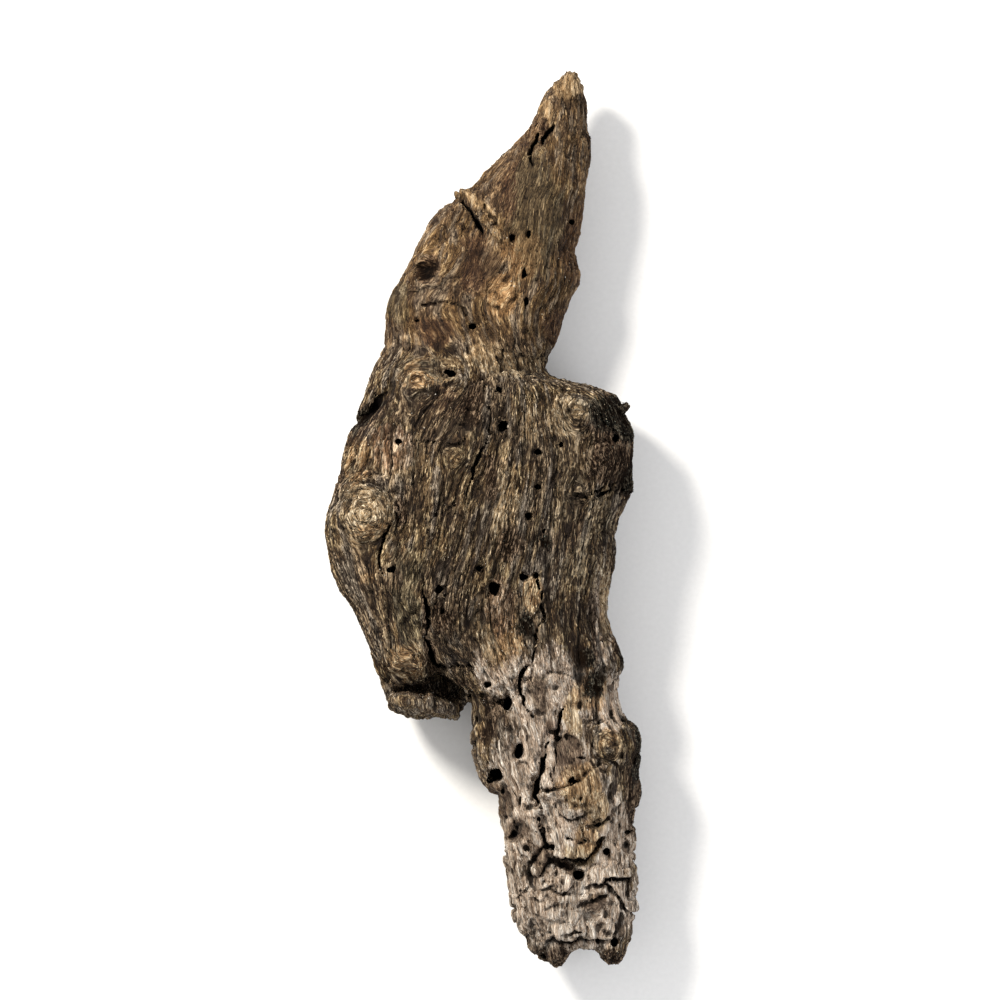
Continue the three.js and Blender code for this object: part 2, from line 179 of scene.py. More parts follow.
# Ledges: the wood left of the line's way stands up by a height that fades over a length, and a gutter
# of some depth and width runs along its foot. The line is (x, y, strength).
LEDGES = {
    "shoulder": (1.3, 9, 0.35, 0.8, [
        (16, 34.8, 0.3), (9.4, 37.0, 1), (1.9, 35.8, 1), (-3.1, 33.2, 1), (-7.5, 30.4, 0),
    ]),
    "arc over the pale knot": (1.0, 6, 0.9, 0.7, [
        (-21.2, 1.5, 0.2), (-21.6, 4.4, 1), (-24.2, 7.4, 1), (-28, 9, 1), (-36.4, 8.6, 0.6),
    ]),
    "second arc over the pale knot": (0.6, 4, 0.8, 0.5, [
        (-24, 10.6, 0.2), (-28, 11.8, 1), (-35, 11.2, 0.4),
    ]),
    "crease of the right flank": (0.4, 5, 0.5, 0.8, [
        (18.6, 8.2, 0.2), (23.1, 4.8, 0.9), (25.1, 3.8, 1), (29.9, 7, 1), (32.9, 7.8, 1), (37.4, 7.2, 1),
    ]),
    "moss corner": (0.7, 4, 0.5, 0.6, [(28, 27.5, 0.3), (30, 24, 1), (34, 22, 1), (37, 21, 1)]),
    "pale plate of the stem": (0.9, 9, 0.6, 0.5, [
        (10.6, -36.8, 0.6), (9.4, -41, 1), (9.9, -46, 1), (13, -50, 0.6),
    ]),
    "arc of the brown knot": (0.8, 5, 1.6, 0.6, [
        (27.8, -60.6, 0.3), (30.6, -59.4, 1), (32.9, -59.8, 1), (34.3, -62, 0.3),
    ]),
    "upper rim of the brown knot": (0.8, 5, 0.9, 0.5, [
        (35.5, -52.5, 0.3), (31.5, -49.6, 1), (27.4, -52, 1), (27, -57, 0.3),
    ]),
    "top of the thick flake": (1.7, 10, 1.4, 0.7, [
        (29.4, -61.4, 0.4), (24.6, -64.4, 1), (20.9, -67, 1), (17.4, -67.6, 1), (13.6, -68.2, 0.6),
    ]),
    "foot of the thick flake": (1.8, 7, 1.8, 0.7, [
        (18.6, -72, 0.4), (19.6, -73.6, 1), (21.6, -74.7, 1), (23.4, -74.2, 1), (26.3, -72.6, 0.4),
    ]),
    "right side of the flake": (1.2, 5, 1.2, 0.6, [
        (25.6, -76, 0.5), (29.4, -75.4, 1), (31.6, -73.7, 1), (34, -70.6, 0.6),
    ]),
    "yellow ridge": (1.8, 6, 2.4, 0.8, [
        (18.1, -84.4, 0.6), (19.5, -83.9, 1), (22.4, -84.2, 1), (24.4, -84.6, 1), (26.6, -83.3, 1),
        (28.3, -80.4, 1), (30.4, -78.4, 0.3),
    ]),
    "small flake": (1.2, 5, 1.3, 0.6, [
        (16.2, -87.4, 0.5), (16.7, -91.8, 1), (19.4, -93.6, 1), (22.3, -90.6, 1), (22.4, -87.6, 0.5),
    ]),
    "left step": (0.9, 6, 1.0, 0.42, [
        (7.9, -94.2, 0.5), (10.9, -92.3, 1), (11.6, -92.1, 0), (13.6, -92.9, 0), (14.3, -92.5, 1),
        (16.6, -91.1, 1),
    ]),
    "left step, second": (0.7, 3, 0.7, 0.45, [(11.4, -94.7, 0.4), (14.3, -95.0, 1), (15.4, -93.4, 0.5)]),
    "left step, third": (0.7, 3, 0.8, 0.45, [(14.6, -97.2, 0.4), (16.6, -96.1, 1), (18.6, -96.0, 0.4)]),
    "deep slit of the foot": (1.4, 5, 3.0, 0.8, [
        (24.6, -95.6, 0.4), (28.4, -94.5, 1), (30.4, -93.5, 0.5),
    ]),
    "right overhang": (1.2, 6, 2.6, 0.75, [
        (25.8, -91.2, 0.5), (29.4, -90.8, 1), (30.7, -89.3, 1), (32.8, -89.5, 1), (36.2, -89.3, 1),
    ]),
    "slanted plate of the foot": (0.8, 6, 1.6, 0.6, [
        (30.6, -90.6, 0.4), (33.9, -93.9, 1), (35.1, -96.6, 1), (36.6, -98.2, 1), (39, -98.2, 0.8),
    ]),
    "band of the foot": (1.4, 7, 2.0, 0.8, [
        (14.4, -106.8, 0.5), (17.2, -103.9, 1), (20.6, -105.1, 1), (25.4, -104.9, 1), (33, -104.9, 0.7),
    ]),
    "band of the foot, upper": (0.6, 3, 0.8, 0.45, [
        (20.4, -103.4, 0.5), (22.4, -102.9, 1), (24.2, -103.4, 0.5),
    ]),
    "neck folds": (0.4, 3, 0.3, 0.5, [(-2, 44, 0.4), (4, 42.4, 1), (12, 40.6, 1), (17, 40, 0.4)]),
    "lobe, lower fold": (0.6, 5, 0.25, 0.6, [
        (-22, 57, 0.5), (-17, 56.4, 1), (-11, 58, 1), (-8, 61, 0.3),
    ]),
    "blade, middle fold": (0.6, 6, 0.3, 0.6, [
        (-6, 58, 0.4), (-1, 56, 1), (1.6, 53.2, 1), (5, 53, 1), (8.4, 56, 0.4),
    ]),
}

# Long raised strands: height, and the line as (x, y, half width).
STRANDS = {
    "band from the tooth": (1.5, [
        (-6.2, 82.4, 0.7), (-3.2, 80.2, 1.1), (0.2, 74.8, 0.9), (4.2, 69.4, 0.5),
    ]),
    "second of the band": (1.0, [
        (-2.6, 82.0, 0.6), (0.2, 79.4, 0.8), (3.4, 74.6, 0.8), (7.2, 67.4, 0.5),
    ]),
    "left edge of the lobe": (0.9, [(-10.4, 73.0, 0.7), (-13.4, 69.0, 1.1), (-16.4, 64.0, 0.7)]),
    "arc of the swirl": (0.9, [
        (-0.4, 58.8, 0.6), (1.0, 55.0, 1.0), (4.6, 53.9, 1.0), (7.4, 56.4, 0.8), (8.2, 60, 0.5),
    ]),
    "rim of the lobe's knot": (0.7, [
        (-18, 61, 0.7), (-15, 58.2, 0.9), (-11, 59, 0.9), (-9.8, 62.4, 0.7),
    ]),
    "right edge of the blade": (0.6, [(24.4, 94, 0.6), (24.2, 84, 1.0), (22.6, 72, 0.7)]),
    "chip over the split of the tip": (1.0, [(15.0, 92.4, 0.9), (14.6, 91.2, 1.2)]),
    "edge of the long split": (0.5, [(3.2, 26, 0.5), (1.4, 17, 0.8), (-1.4, 8, 0.5)]),
    "pale ribbon": (0.5, [(4.6, 12, 0.4), (5.0, 4, 0.7), (5.2, -3.6, 0.4)]),
    "pale ribbon, right": (0.45, [(7.6, 9, 0.4), (8.0, 2, 0.7), (8.3, -3, 0.4)]),
    "ribbon by the upper hole": (0.4, [(10.0, 27, 0.4), (9.8, 22, 0.6), (9.2, 18, 0.4)]),
    "left limb, outer": (0.7, [(-33, -8, 0.6), (-29.4, -20, 0.9), (-26.6, -32, 0.6)]),
    "left limb, inner": (0.7, [(-26.5, -14, 0.5), (-25, -24, 0.8), (-23.6, -33, 0.5)]),
}

# A loose chip that lies in a groove: how high its middle stands, how deep the groove is, and its line.
LOOSE_CHIPS = {
    "oval chip of the foot": (1.2, 1.1, [(12.9, -87.6, 1.6), (15.8, -83.0, 1.3)]),
}

# Beetle holes and rotted pits: x, y, half width, half length, turn in degrees, depth.
HOLES = [
    (3.6, 32, 1.0, 1.0, 0, 5), (4.9, 23, 1.15, 1.1, 0, 6), (13.4, 16.5, 1.1, 1.05, 0, 6),
    (13.4, 8, 1.25, 1.15, 0, 6), (10.9, 0.8, 1.2, 1.25, 0, 6), (-21.1, 19.2, 0.85, 0.85, 0, 4),
    (32.9, 20.2, 0.9, 1.0, 0, 5), (19.4, 18.5, 0.6, 0.8, 0, 3), (-0.9, -12.5, 1.1, 1.1, 0, 5),
    (9.9, -14.2, 1.5, 1.2, -20, 5), (12.9, -14, 0.75, 0.7, 0, 4), (-11.1, -17.8, 1.0, 1.1, 0, 5),
    (2.6, -17.2, 1.4, 1.9, 10, 2.6), (-10.4, -23, 0.75, 0.8, 0, 5), (7.1, 70, 0.95, 0.85, 0, 5),
    (11.1, 71, 0.7, 1.05, 0, 5), (21.9, 74.2, 0.7, 0.7, 0, 3), (-2.9, 48, 0.9, 0.75, 0, 5),
    (10.1, 61.2, 0.6, 1.3, -8, 3.5), (10.6, 54.2, 0.75, 1.15, 0, 3.5), (-16.6, 49.5, 0.8, 0.6, 0, 2.5),
    (30.4, -83, 1.0, 0.9, 0, 4), (7.4, -78.5, 0.5, 0.6, 0, 3), (20.6, -96.2, 0.9, 1.2, -8, 0.7),
    (8.9, -57.8, 1.3, 2.15, -6, 10), (3.1, -63.8, 1.6, 1.7, 20, 4.5), (5.9, -46, 1.3, 1.9, -14, 6),
    (0.9, -41.2, 1.1, 0.9, 0, 3), (23.6, -88.8, 1.6, 1.3, 0, 6), (-8.6, 36.2, 1.5, 0.9, -22, 2.4),
    (21.6, -65.1, 0.9, 1.1, -40, 3), (24.2, -59.4, 1.3, 0.45, 0, 3), (17.2, -81.6, 0.7, 0.9, 0, 3),
    (-24.8, -4.2, 0.7, 1.3, -12, 3), (-22.9, -12.5, 1.3, 0.6, 20, 3), (14.9, -3, 0.5, 0.5, 0, 2),
    (28.9, -80.2, 1.5, 0.5, 42, 2), (36.2, -78.2, 1.2, 0.4, 8, 2), (32.6, -105.8, 1.0, 0.6, 10, 1.6),
    (-23.4, -1.7, 0.7, 0.8, 0, 1.2), (18.3, -54.6, 0.9, 0.6, 0, 2.4), (21.5, -54.2, 1.6, 0.7, -14, 1.6),
    (11.2, -72, 1.2, 0.9, 20, 1.6),
]

# Broad dents and swellings of the front: x, y, half width, half length, turn in degrees, height.
SWELLS = [
    (-27.0, 27.0, 1.7, 7.5, -38, -2.2), (-14, 61.6, 2.5, 2.1, 30, -2.6), (9.9, -51, 1.1, 1.0, 0, 0.8),
    (22.6, 26.5, 3.6, 3.6, 0, 1.0), (22, 27, 0.7, 0.7, 0, -1.3), (-7.5, 16.3, 1.6, 2.0, 0, 0.7),
    (-28.6, 0.5, 5.5, 3.6, 0, 1.0), (29.4, 17, 4.5, 5, 0, 0.4), (24.2, 6.6, 2.2, 1.5, 0, 0.9),
    (2, 6, 4.5, 12, 0, -0.5), (-3.6, 28.5, 2.2, 5, -20, -1.2), (21.1, 27, 0.5, 0.8, 0, -1.2),
    (3.0, -70.5, 3, 4, 0, -1.0), (8.6, -77, 2.4, 2.2, 0, -0.8), (10.6, -44, 1.5, 2, 0, -0.8),
    (33.4, 9, 3, 2.4, 0, -0.9), (-12.4, -35, 1.8, 2.6, 0, -1.4), (22, -57, 2.5, 4, 0, -0.6),
    (10.4, -27, 3.2, 3.6, 0, -0.7), (24.6, -34.6, 3, 2.6, 0, -0.8), (21, -70, 4, 3.4, 20, 0.9),
    (28.4, -66, 2.6, 5, 0, 0.8), (31, -55.5, 3.4, 3.4, 0, 0.9), (13.5, -99, 4.5, 3.5, 0, 0.7),
    (25, -99.5, 4, 3, 0, 0.6), (34, -102, 2.2, 4.5, 0, -0.6), (8.6, -88, 2.4, 5, 0, 0.6),
    (19.6, -78.6, 3, 3.6, 0, 0.7), (-17.4, 36.2, 3.4, 3, 0, 0.8), (-21.0, -34, 3.0, 4.5, 0, 0.9),
    (-13, -33, 2.4, 2, 0, -1.0), (-3, -32, 3, 5, 0, -0.5), (9.4, 88, 3, 5, 0, 0.6),
    (19, 104, 3, 5, 0, 0.5), (15, 46, 3, 4, 0, -0.7), (3.6, 44, 3, 3, 0, 0.6), (-10, 46, 4, 4, 0, -0.7),
    (-19, 53, 3, 4, 0, 0.8), (-9, 67, 4, 4, 0, 0.5), (33, 25.5, 3, 3.5, 0, -1.0),
]

# The hollow of the broken stub: centre, half sizes and turn in degrees.
CAVITIES = [
    ((-16.0, -42.2, 26.5), (7.6, 1.0, 9), -5),
    ((-7.2, -43.2, 24), (2.9, 2.5, 11), 8),
    ((-21.5, -41.7, 27), (3.0, 1.0, 7), 10),
]

# Wood that stands out past the smoothed solid: centre, half sizes and turn in degrees.
GROWTHS = [
    ((34.6, 27.4, 24.5), (1.1, 1.7, 2.4), -50),
    ((-15.5, -46.8, 17), (8.6, 2.8, 12), -2),
    ((-18.6, -45.6, 19), (5.4, 2.4, 12), -6),
    ((-13.4, -45.4, 18), (1.6, 2.6, 12.5), 0),
    ((-5.9, 80.4, 20), (0.9, 1.9, 3), 38),
    ((14.1, -105.8, 17), (3.0, 3.4, 8), -35),
    ((18.2, -107.6, 17), (3.0, 4.4, 9), 0),
    ((32.2, -106.8, 17), (3.6, 4.8, 9), 0),
    ((34.3, -102.5, 17), (3.0, 5.0, 8), 0),
    ((21.8, 107.5, 20), (2.4, 4.4, 5), 0),
]

# Broken ends with torn, crumbling wood: the box that each lies in, how far towards the foot it starts, the
# size of its lumps and how deep they go.
BROKEN_ENDS = [
    {"low": (-28, -53, 0), "high": (-3, -43, 42), "start": 44, "size": 1.7, "depth": 0.9},
    {"low": (-2, -116, 0), "high": (42, -103, 42), "start": 104, "size": 2.4, "depth": 0.7},
]


# Colour and nodes

def linear(hex_colour):
    """A colour given as sRGB hex, as linear red, green, blue and alpha."""
    parts = [int(hex_colour[i:i + 2], 16) / 255 for i in (0, 2, 4)]
    return tuple(c / 12.92 if c <= 0.04045 else ((c + 0.055) / 1.055) ** 2.4 for c in parts) + (1.0,)


def add(tree, kind, inputs=None, stops=None, **settings):
    """Adds a node. An input is a number, a colour, a socket, or a node for its first output."""
    made = tree.nodes.new(kind)
    for name, value in settings.items():
        setattr(made, name, value)
    if stops:
        ramp = made.color_ramp
        while len(ramp.elements) < len(stops):
            ramp.elements.new(0.5)
        for element, (place, colour) in zip(ramp.elements, stops):
            element.position = place
            element.color = linear(colour) if isinstance(colour, str) else (colour, colour, colour, 1)
    for name, value in (inputs or {}).items():
        if isinstance(value, bpy.types.Node):
            value = value.outputs[0]
        if isinstance(value, bpy.types.NodeSocket):
            tree.links.new(value, made.inputs[name])
        else:
            made.inputs[name].default_value = value
    return made


def new_material(name, roughness, gloss):
    """A material, its nodes and its shader, with how rough it is and how much it shines."""
    material = bpy.data.materials.new(name)
    material.use_nodes = True
    shader = material.node_tree.nodes["Principled BSDF"]
    shader.inputs["Roughness"].default_value = roughness
    shader.inputs["Specular IOR Level"].default_value = gloss
    return material, material.node_tree, shader


# Camera, lamps and floor

def make_camera():
    data = bpy.data.cameras.new("straight_down")
    data.lens = LENS
    data.sensor_width = SENSOR
    distance = VIEW_SIDE * LENS / SENSOR
    data.clip_start = 0.05
    data.clip_end = 10
    camera = bpy.data.objects.new("straight_down", data)
    camera.location = (VIEW_CENTRE[0] * MM, VIEW_CENTRE[1] * MM, (WIDEST_HEIGHT + distance) * MM)
    bpy.context.scene.collection.objects.link(camera)
    bpy.context.scene.camera = camera


def make_lamp(name, place, size, power, colour):
    data = bpy.data.lights.new(name, "AREA")
    data.shape = "DISK"
    data.size = size * MM
    data.energy = power
    data.color = linear(colour)[:3]
    lamp = bpy.data.objects.new(name, data)
    lamp.location = [c * MM for c in place]
    lamp.rotation_euler = lamp.location.to_track_quat("Z", "Y").to_euler()
    bpy.context.scene.collection.objects.link(lamp)


def make_world(strength, colour):
    world = bpy.data.worlds.new("soft_room")
    world.use_nodes = True
    background = world.node_tree.nodes["Background"]
    background.inputs["Color"].default_value = linear(colour)
    background.inputs["Strength"].default_value = strength
    bpy.context.scene.world = world


def make_floor():
    mesh = bpy.data.meshes.new("paper_floor")
    half = FLOOR_SIDE / 2 * MM
    corners = [(-half, -half, 0), (half, -half, 0), (half, half, 0), (-half, half, 0)]
    mesh.from_pydata(corners, [], [(0, 1, 2, 3)])
    floor = bpy.data.objects.new("paper_floor", mesh)
    bpy.context.scene.collection.objects.link(floor)
    paper, tree, shader = new_material("matt_white_paper", 0.9, 0.2)
    place = add(tree, "ShaderNodeTexCoord")
    inputs = {"Vector": place.outputs["Object"], "Scale": 1 / (PAPER_FIBRE * MM), "Detail": 3.0}
    fibre = add(tree, "ShaderNodeTexNoise", inputs)
    tint = add(tree, "ShaderNodeValToRGB", {"Fac": fibre}, stops=[(0.3, "f4f3f1"), (0.7, "f8f7f5")])
    tree.links.new(tint.outputs[0], shader.inputs["Base Color"])
    mesh.materials.append(paper)


# Repeatable noise

def hashed(cells, seed):
    """A repeatable number from 0 to 1 for each whole-numbered cell."""
    mixed = np.full(cells[0].shape, (seed * 2654435761 + 97) % 2 ** 32, np.uint32)
    for cell, prime in zip(cells, (73856093, 19349663, 83492791)):
        mixed ^= cell.astype(np.int64).astype(np.uint32) * np.uint32(prime)
        mixed = (mixed ^ (mixed >> np.uint32(15))) * np.uint32(2246822519)
    mixed ^= mixed >> np.uint32(13)
    return (mixed & np.uint32(0xFFFFFF)) / float(0xFFFFFF)


def noise(*axes, seed=0):
    """Smooth noise from -1 to 1 with one lump for each unit of each axis."""
    cells = [np.floor(a) for a in axes]
    eased = [(a - c) ** 2 * (3 - 2 * (a - c)) for a, c in zip(axes, cells)]
    total = 0
    for corner in itertools.product((0, 1), repeat=len(axes)):
        weight = 1
        for side, share in zip(corner, eased):
            weight = weight * (share if side else 1 - share)
        total = total + weight * hashed([c + side for c, side in zip(cells, corner)], seed)
    return total * 2 - 1


def layered(*axes, seed=0, layers=3):
    """Noise with finer, fainter layers over it."""
    return sum(noise(*[a * 2 ** i for a in axes], seed=seed + i) / 2 ** i for i in range(layers)) / 1.6


def plates(x, y, seed):
    """Cells like broken plates: nearness to their joints, 1 on a joint, and a number for each plate."""
    first = np.full(x.shape, 9.0)
    second = np.full(x.shape, 9.0)
    owner = np.zeros(x.shape)
    column, row = np.floor(x), np.floor(y)
    for i, j in itertools.product((-1, 0, 1), repeat=2):
        cell = [column + i, row + j]
        away = np.hypot(cell[0] + hashed(cell, seed) - x, cell[1] + hashed(cell, seed + 1) - y)
        nearest = away < first
        second = np.where(nearest, first, np.minimum(second, away))
        owner = np.where(nearest, hashed(cell, seed + 2), owner)
        first = np.where(nearest, away, first)
    return 1 - np.clip((second - first) * 3, 0, 1), owner


def ease(value, low, high):
    """0 below low, 1 above high, and smooth between them."""
    share = np.clip((value - low) / (high - low), 0, 1)
    return share * share * (3 - 2 * share)


# Shapes seen from above

def near_line(x, y, line):
    """Distance to a drawn line, the side of a point (1 on the left) and the line's third number there."""
    gap = np.full(x.shape, 1e6)
    side = np.zeros(x.shape)
    carried = np.zeros(x.shape)
    for (x0, y0, c0), (x1, y1, c1) in zip(line, line[1:]):
        dx, dy = x1 - x0, y1 - y0
        share = np.clip(((x - x0) * dx + (y - y0) * dy) / (dx * dx + dy * dy), 0, 1)
        away = np.hypot(x - x0 - share * dx, y - y0 - share * dy)
        closer = away < gap
        gap = np.where(closer, away, gap)
        side = np.where(closer, np.sign(dx * (y - y0) - dy * (x - x0)), side)
        carried = np.where(closer, c0 + share * (c1 - c0), carried)
    return gap, side, carried


def past_ends(x, y, line):
    """How far a point lies past either end of a line, along the line's way there."""
    (x0, y0, _), (x1, y1, _) = line[0], line[1]
    (x3, y3, _), (x2, y2, _) = line[-1], line[-2]
    start = ((x0 - x1) * (x - x0) + (y0 - y1) * (y - y0)) / math.hypot(x0 - x1, y0 - y1)
    stop = ((x3 - x2) * (x - x3) + (y3 - y2) * (y - y3)) / math.hypot(x3 - x2, y3 - y2)
    return np.clip(np.maximum(start, stop), 0, None)


def oval(x, y, shape):
    """Distance from an oval's middle, 1 on its rim. Its shape: x, y, half width, half length, turn."""
    cx, cy, half_width, half_length, turn = shape
    c, s = math.cos(math.radians(turn)), math.sin(math.radians(turn))
    across = (x - cx) * c + (y - cy) * s
    along = (y - cy) * c - (x - cx) * s
    return np.hypot(across / half_width, along / half_length)


def front_relief(x, y):
    """Height added to the front by splits, ledges, strands, dents and swellings, and by the stem's rot."""
    fray_x = x + 0.35 * noise(x / 1.6, y / 1.6, seed=3) + 0.5 * noise(x / 4, y / 4, seed=4)
    fray_y = y + 0.35 * noise(x / 1.6, y / 1.6, seed=5) + 0.5 * noise(x / 4, y / 4, seed=6)
    height = np.zeros(x.shape)
    for cx, cy, half_width, half_length, turn, rise in SWELLS:
        height += rise * np.exp(-oval(fray_x, fray_y, (cx, cy, half_width, half_length, turn)) ** 2)
    rot = ease(-y, *ROT_START)
    seam, level = plates(fray_x / 4.6 + 0.3 * fray_y / 5, fray_y / 5.4, 11)
    height += rot * (0.7 * (level - 0.5) - 0.8 * seam ** 3)
    lumps = layered(fray_x / 6, fray_y / 7, seed=17)
    height += rot * 0.55 * (np.round(lumps * 3) / 3 * 0.7 + lumps * 0.3)
    stem = ease(-y, *STEM_START)
    worn = stem * (1 - rot)
    wear = 0.3 * layered(fray_x / 3, fray_y / 9, seed=19) + 0.5 * layered(fray_x / 2.6, fray_y / 4, seed=21)
    height += worn * wear
    height -= stem * 1.1 * ease(noise(fray_x / 1.5, fray_y / 2.1, seed=20), 0.45, 0.85)
    for rise, fade, depth, width, line in LEDGES.values():
        gap, side, strength = near_line(fray_x, fray_y, line)
        strength = strength * np.exp(-(past_ends(fray_x, fray_y, line) / 0.8) ** 2)
        upper = rise * np.exp(-gap / fade * 2) * strength
        gutter = -depth * np.exp(-(gap / width) ** 2) * strength
        height += np.where(side > 0, upper, gutter)
    for rise, line in STRANDS.values():
        gap, _, half_width = near_line(fray_x, fray_y, line)
        height += rise * np.exp(-(gap / half_width) ** 2)
    for rise, groove, line in LOOSE_CHIPS.values():
        gap, _, half_width = near_line(x, y, line)
        height += rise * np.sqrt(np.clip(1 - (gap / half_width) ** 2, 0, 1))
        height -= groove * np.exp(-((gap - half_width - 0.15) / 0.28) ** 2)
    varied = 1.05 + 0.5 * noise(x / 1.3, y / 2.4, seed=8)
    for depth, line in SPLITS.values():
        gap, _, half_width = near_line(fray_x, fray_y, line)
        height -= depth * np.clip(1.15 - gap / (half_width * varied), 0, 1) ** 0.8
    return height


def back_relief(x, y):
    """Height added to the back, which the photograph doesn't show: worn grain, dents and rot at the foot."""
    height = 0.7 * layered(x / 7, y / 22, seed=31) + 0.35 * layered(x / 2.4, y / 12, seed=35)
    rot = ease(-y, *BACK_ROT_START)
    seam, level = plates(x / 5, y / 6.4, 41)
    height += rot * (0.5 * (level - 0.5) - 0.6 * seam ** 3)
    resting = 1 - ease(np.hypot((x - 3) / 24, (y + 10) / 34), 0.8, 1.2)
    return np.minimum(height, 0) * resting + height * (1 - resting)


# The block of voxels that the wood is carved from

def merged_copy(node):
    """The points of a CAD node in mm, and its triangles, from a copy whose doubles are merged."""
    work = bmesh.new()
    work.from_mesh(node.data)
    bmesh.ops.remove_doubles(work, verts=work.verts, dist=1e-6)
    bmesh.ops.triangulate(work, faces=work.faces)
    points = np.array([v.co for v in work.verts]) / MM
    triangles = np.array([[v.index for v in f.verts] for f in work.faces])
    work.free()
    return points, triangles


def blurred(block, radius):
    """The block, blurred by a radius in mm along all three axes."""
    spread = radius / VOXEL
    reach = int(math.ceil(spread * 2.6))
    taps = np.exp(-0.5 * (np.arange(-reach, reach + 1) / spread) ** 2)
    taps /= taps.sum()
    for axis in range(3):
        count = block.shape[axis]
        padded = np.pad(block, [(reach, reach) if a == axis else (0, 0) for a in range(3)], "edge")
        block = 0
        for i, tap in enumerate(taps):
            shifted = [slice(None)] * 3
            shifted[axis] = slice(i, i + count)
            block = block + np.float32(tap) * padded[tuple(shifted)]
    return block


def sample(block, start, points):
    """Values of a block at points in mm."""
    place = points / VOXEL - start
    low = np.clip(np.floor(place).astype(int), 0, np.array(block.shape) - 2)
    share = (place - low).astype(np.float32)
    total = np.zeros(len(points), np.float32)
    for corner in itertools.product((0, 1), repeat=3):
        weight = np.prod(np.where(corner, share, 1 - share), axis=1)
        total += weight * block[tuple((low + corner).T)]
    return total


def carve_wood(node):
    """The wood as a block of distances to its surface, negative inside, and that block before carving."""
    points, triangles = merged_copy(node)
    grid = openvdb.FloatGrid.createLevelSetFromPolygons(
        points.astype(np.float32),
        triangles=triangles.astype(np.uint32),
        transform=openvdb.createLinearTransform(voxelSize=VOXEL),
        halfWidth=REACH / VOXEL,
    )
    start = np.floor((points.min(0) - MARGIN) / VOXEL).astype(int)
    size = np.ceil((points.max(0) + MARGIN) / VOXEL).astype(int) - start + 1
    block = np.empty(size, np.float32)
    grid.copyToArray(block, ijk=tuple(int(i) for i in start))
    xs, ys, zs = [((start[a] + np.arange(size[a])) * VOXEL).astype(np.float32) for a in range(3)]
    x, y = np.meshgrid(xs, ys, indexing="ij")
    sharp = (END_SHARPNESS * ease(np.abs(y), *SHARP_END))[:, :, None].astype(np.float32)
    smooth = (blurred(block, FACET_BLUR) - np.float32(BLUR_LOSS)) * (1 - sharp) + block * sharp
    facing_up = ease(zs, *FRONT_OF_RELIEF).astype(np.float32)
    fade = 1 - ease(np.abs(y), *LAST_RELIEF)
    front = (front_relief(x, y) * fade).astype(np.float32)
    back = (back_relief(x, y) * fade).astype(np.float32)
    wood = smooth - front[:, :, None] * facing_up - back[:, :, None] * (1 - facing_up)

    def window(low, high):
        """The part of the block within a box, and the places of its voxels."""
        first = [int(np.clip(math.floor(low[a] / VOXEL) - start[a], 0, size[a])) for a in range(3)]
        last = [int(np.clip(math.ceil(high[a] / VOXEL) - start[a], 0, size[a])) for a in range(3)]
        part = tuple(slice(f, l) for f, l in zip(first, last))
        return part, np.meshgrid(xs[part[0]], ys[part[1]], zs[part[2]], indexing="ij")

    def around(centre, half):
        """The low and high corners of a box round a lump or a hollow, with room to spare."""
        return [c - h - MARGIN for c, h in zip(centre, half)], [c + h + MARGIN for c, h in zip(centre, half)]

    for end in BROKEN_ENDS:
        part, (px, py, pz) = window(end["low"], end["high"])
        torn = layered(px / end["size"], py / end["size"], pz / end["size"], seed=77, layers=2)
        reach = ease(-py, end["start"], end["start"] + 3)
        wood[part] += (end["depth"] * (torn + 0.2) * reach).astype(np.float32)
    for centre, half, turn in GROWTHS:
        part, (px, py, pz) = window(*around(centre, half))
        flat = oval(px, py, (centre[0], centre[1], half[0], half[1], turn))
        lump = (np.hypot(flat, (pz - centre[2]) / half[2]) - 1) * min(half)
        wood[part] = np.minimum(wood[part], lump.astype(np.float32))
    for index, (cx, cy, half_width, half_length, turn, depth) in enumerate(HOLES):
        reach = 3 * max(half_width, half_length) + 2
        part, (px, py, pz) = window((cx - reach, cy - reach, 15), (cx + reach, cy + reach, 50))
        buried = -smooth[part]
        lean_x, lean_y = [0.16 * (2 * float(hashed([np.array([index])], seed)[0]) - 1) for seed in (71, 72)]
        bore = (cx, cy, half_width, half_length, turn)
        ragged = 0.14 * noise(px / 0.9, py / 0.9, pz / 1.2, seed=73)
        rim = oval(px + lean_x * buried, py + lean_y * buried, bore) - 1 + ragged
        drill = np.maximum(rim * min(half_width, half_length), buried - depth)
        wood[part] = np.maximum(wood[part], -drill.astype(np.float32))
    for centre, half, turn in CAVITIES:
        part, (px, py, pz) = window(*around(centre, half))
        ragged = 0.25 * layered(px / 2.2, py / 2.2, pz / 4, seed=75, layers=2)
        flat = oval(px, py, (centre[0], centre[1], half[0], half[1], turn))
        scoop = (np.hypot(flat, (pz - centre[2]) / half[2]) - 1 + ragged) * min(half)
        wood[part] = np.maximum(wood[part], -scoop.astype(np.float32))
    return wood, smooth, start


def surface_of(block, start):
    """The surface of a block as points in mm and quads."""
    grid = openvdb.FloatGrid(float(REACH))
    grid.copyFromArray(block, ijk=tuple(int(i) for i in start))
    grid.transform = openvdb.createLinearTransform(voxelSize=VOXEL)
    points, triangles, quads = grid.convertToPolygons(isovalue=0.0, adaptivity=0.0)
    return np.array(points, np.float64), np.array(quads)


# Grain

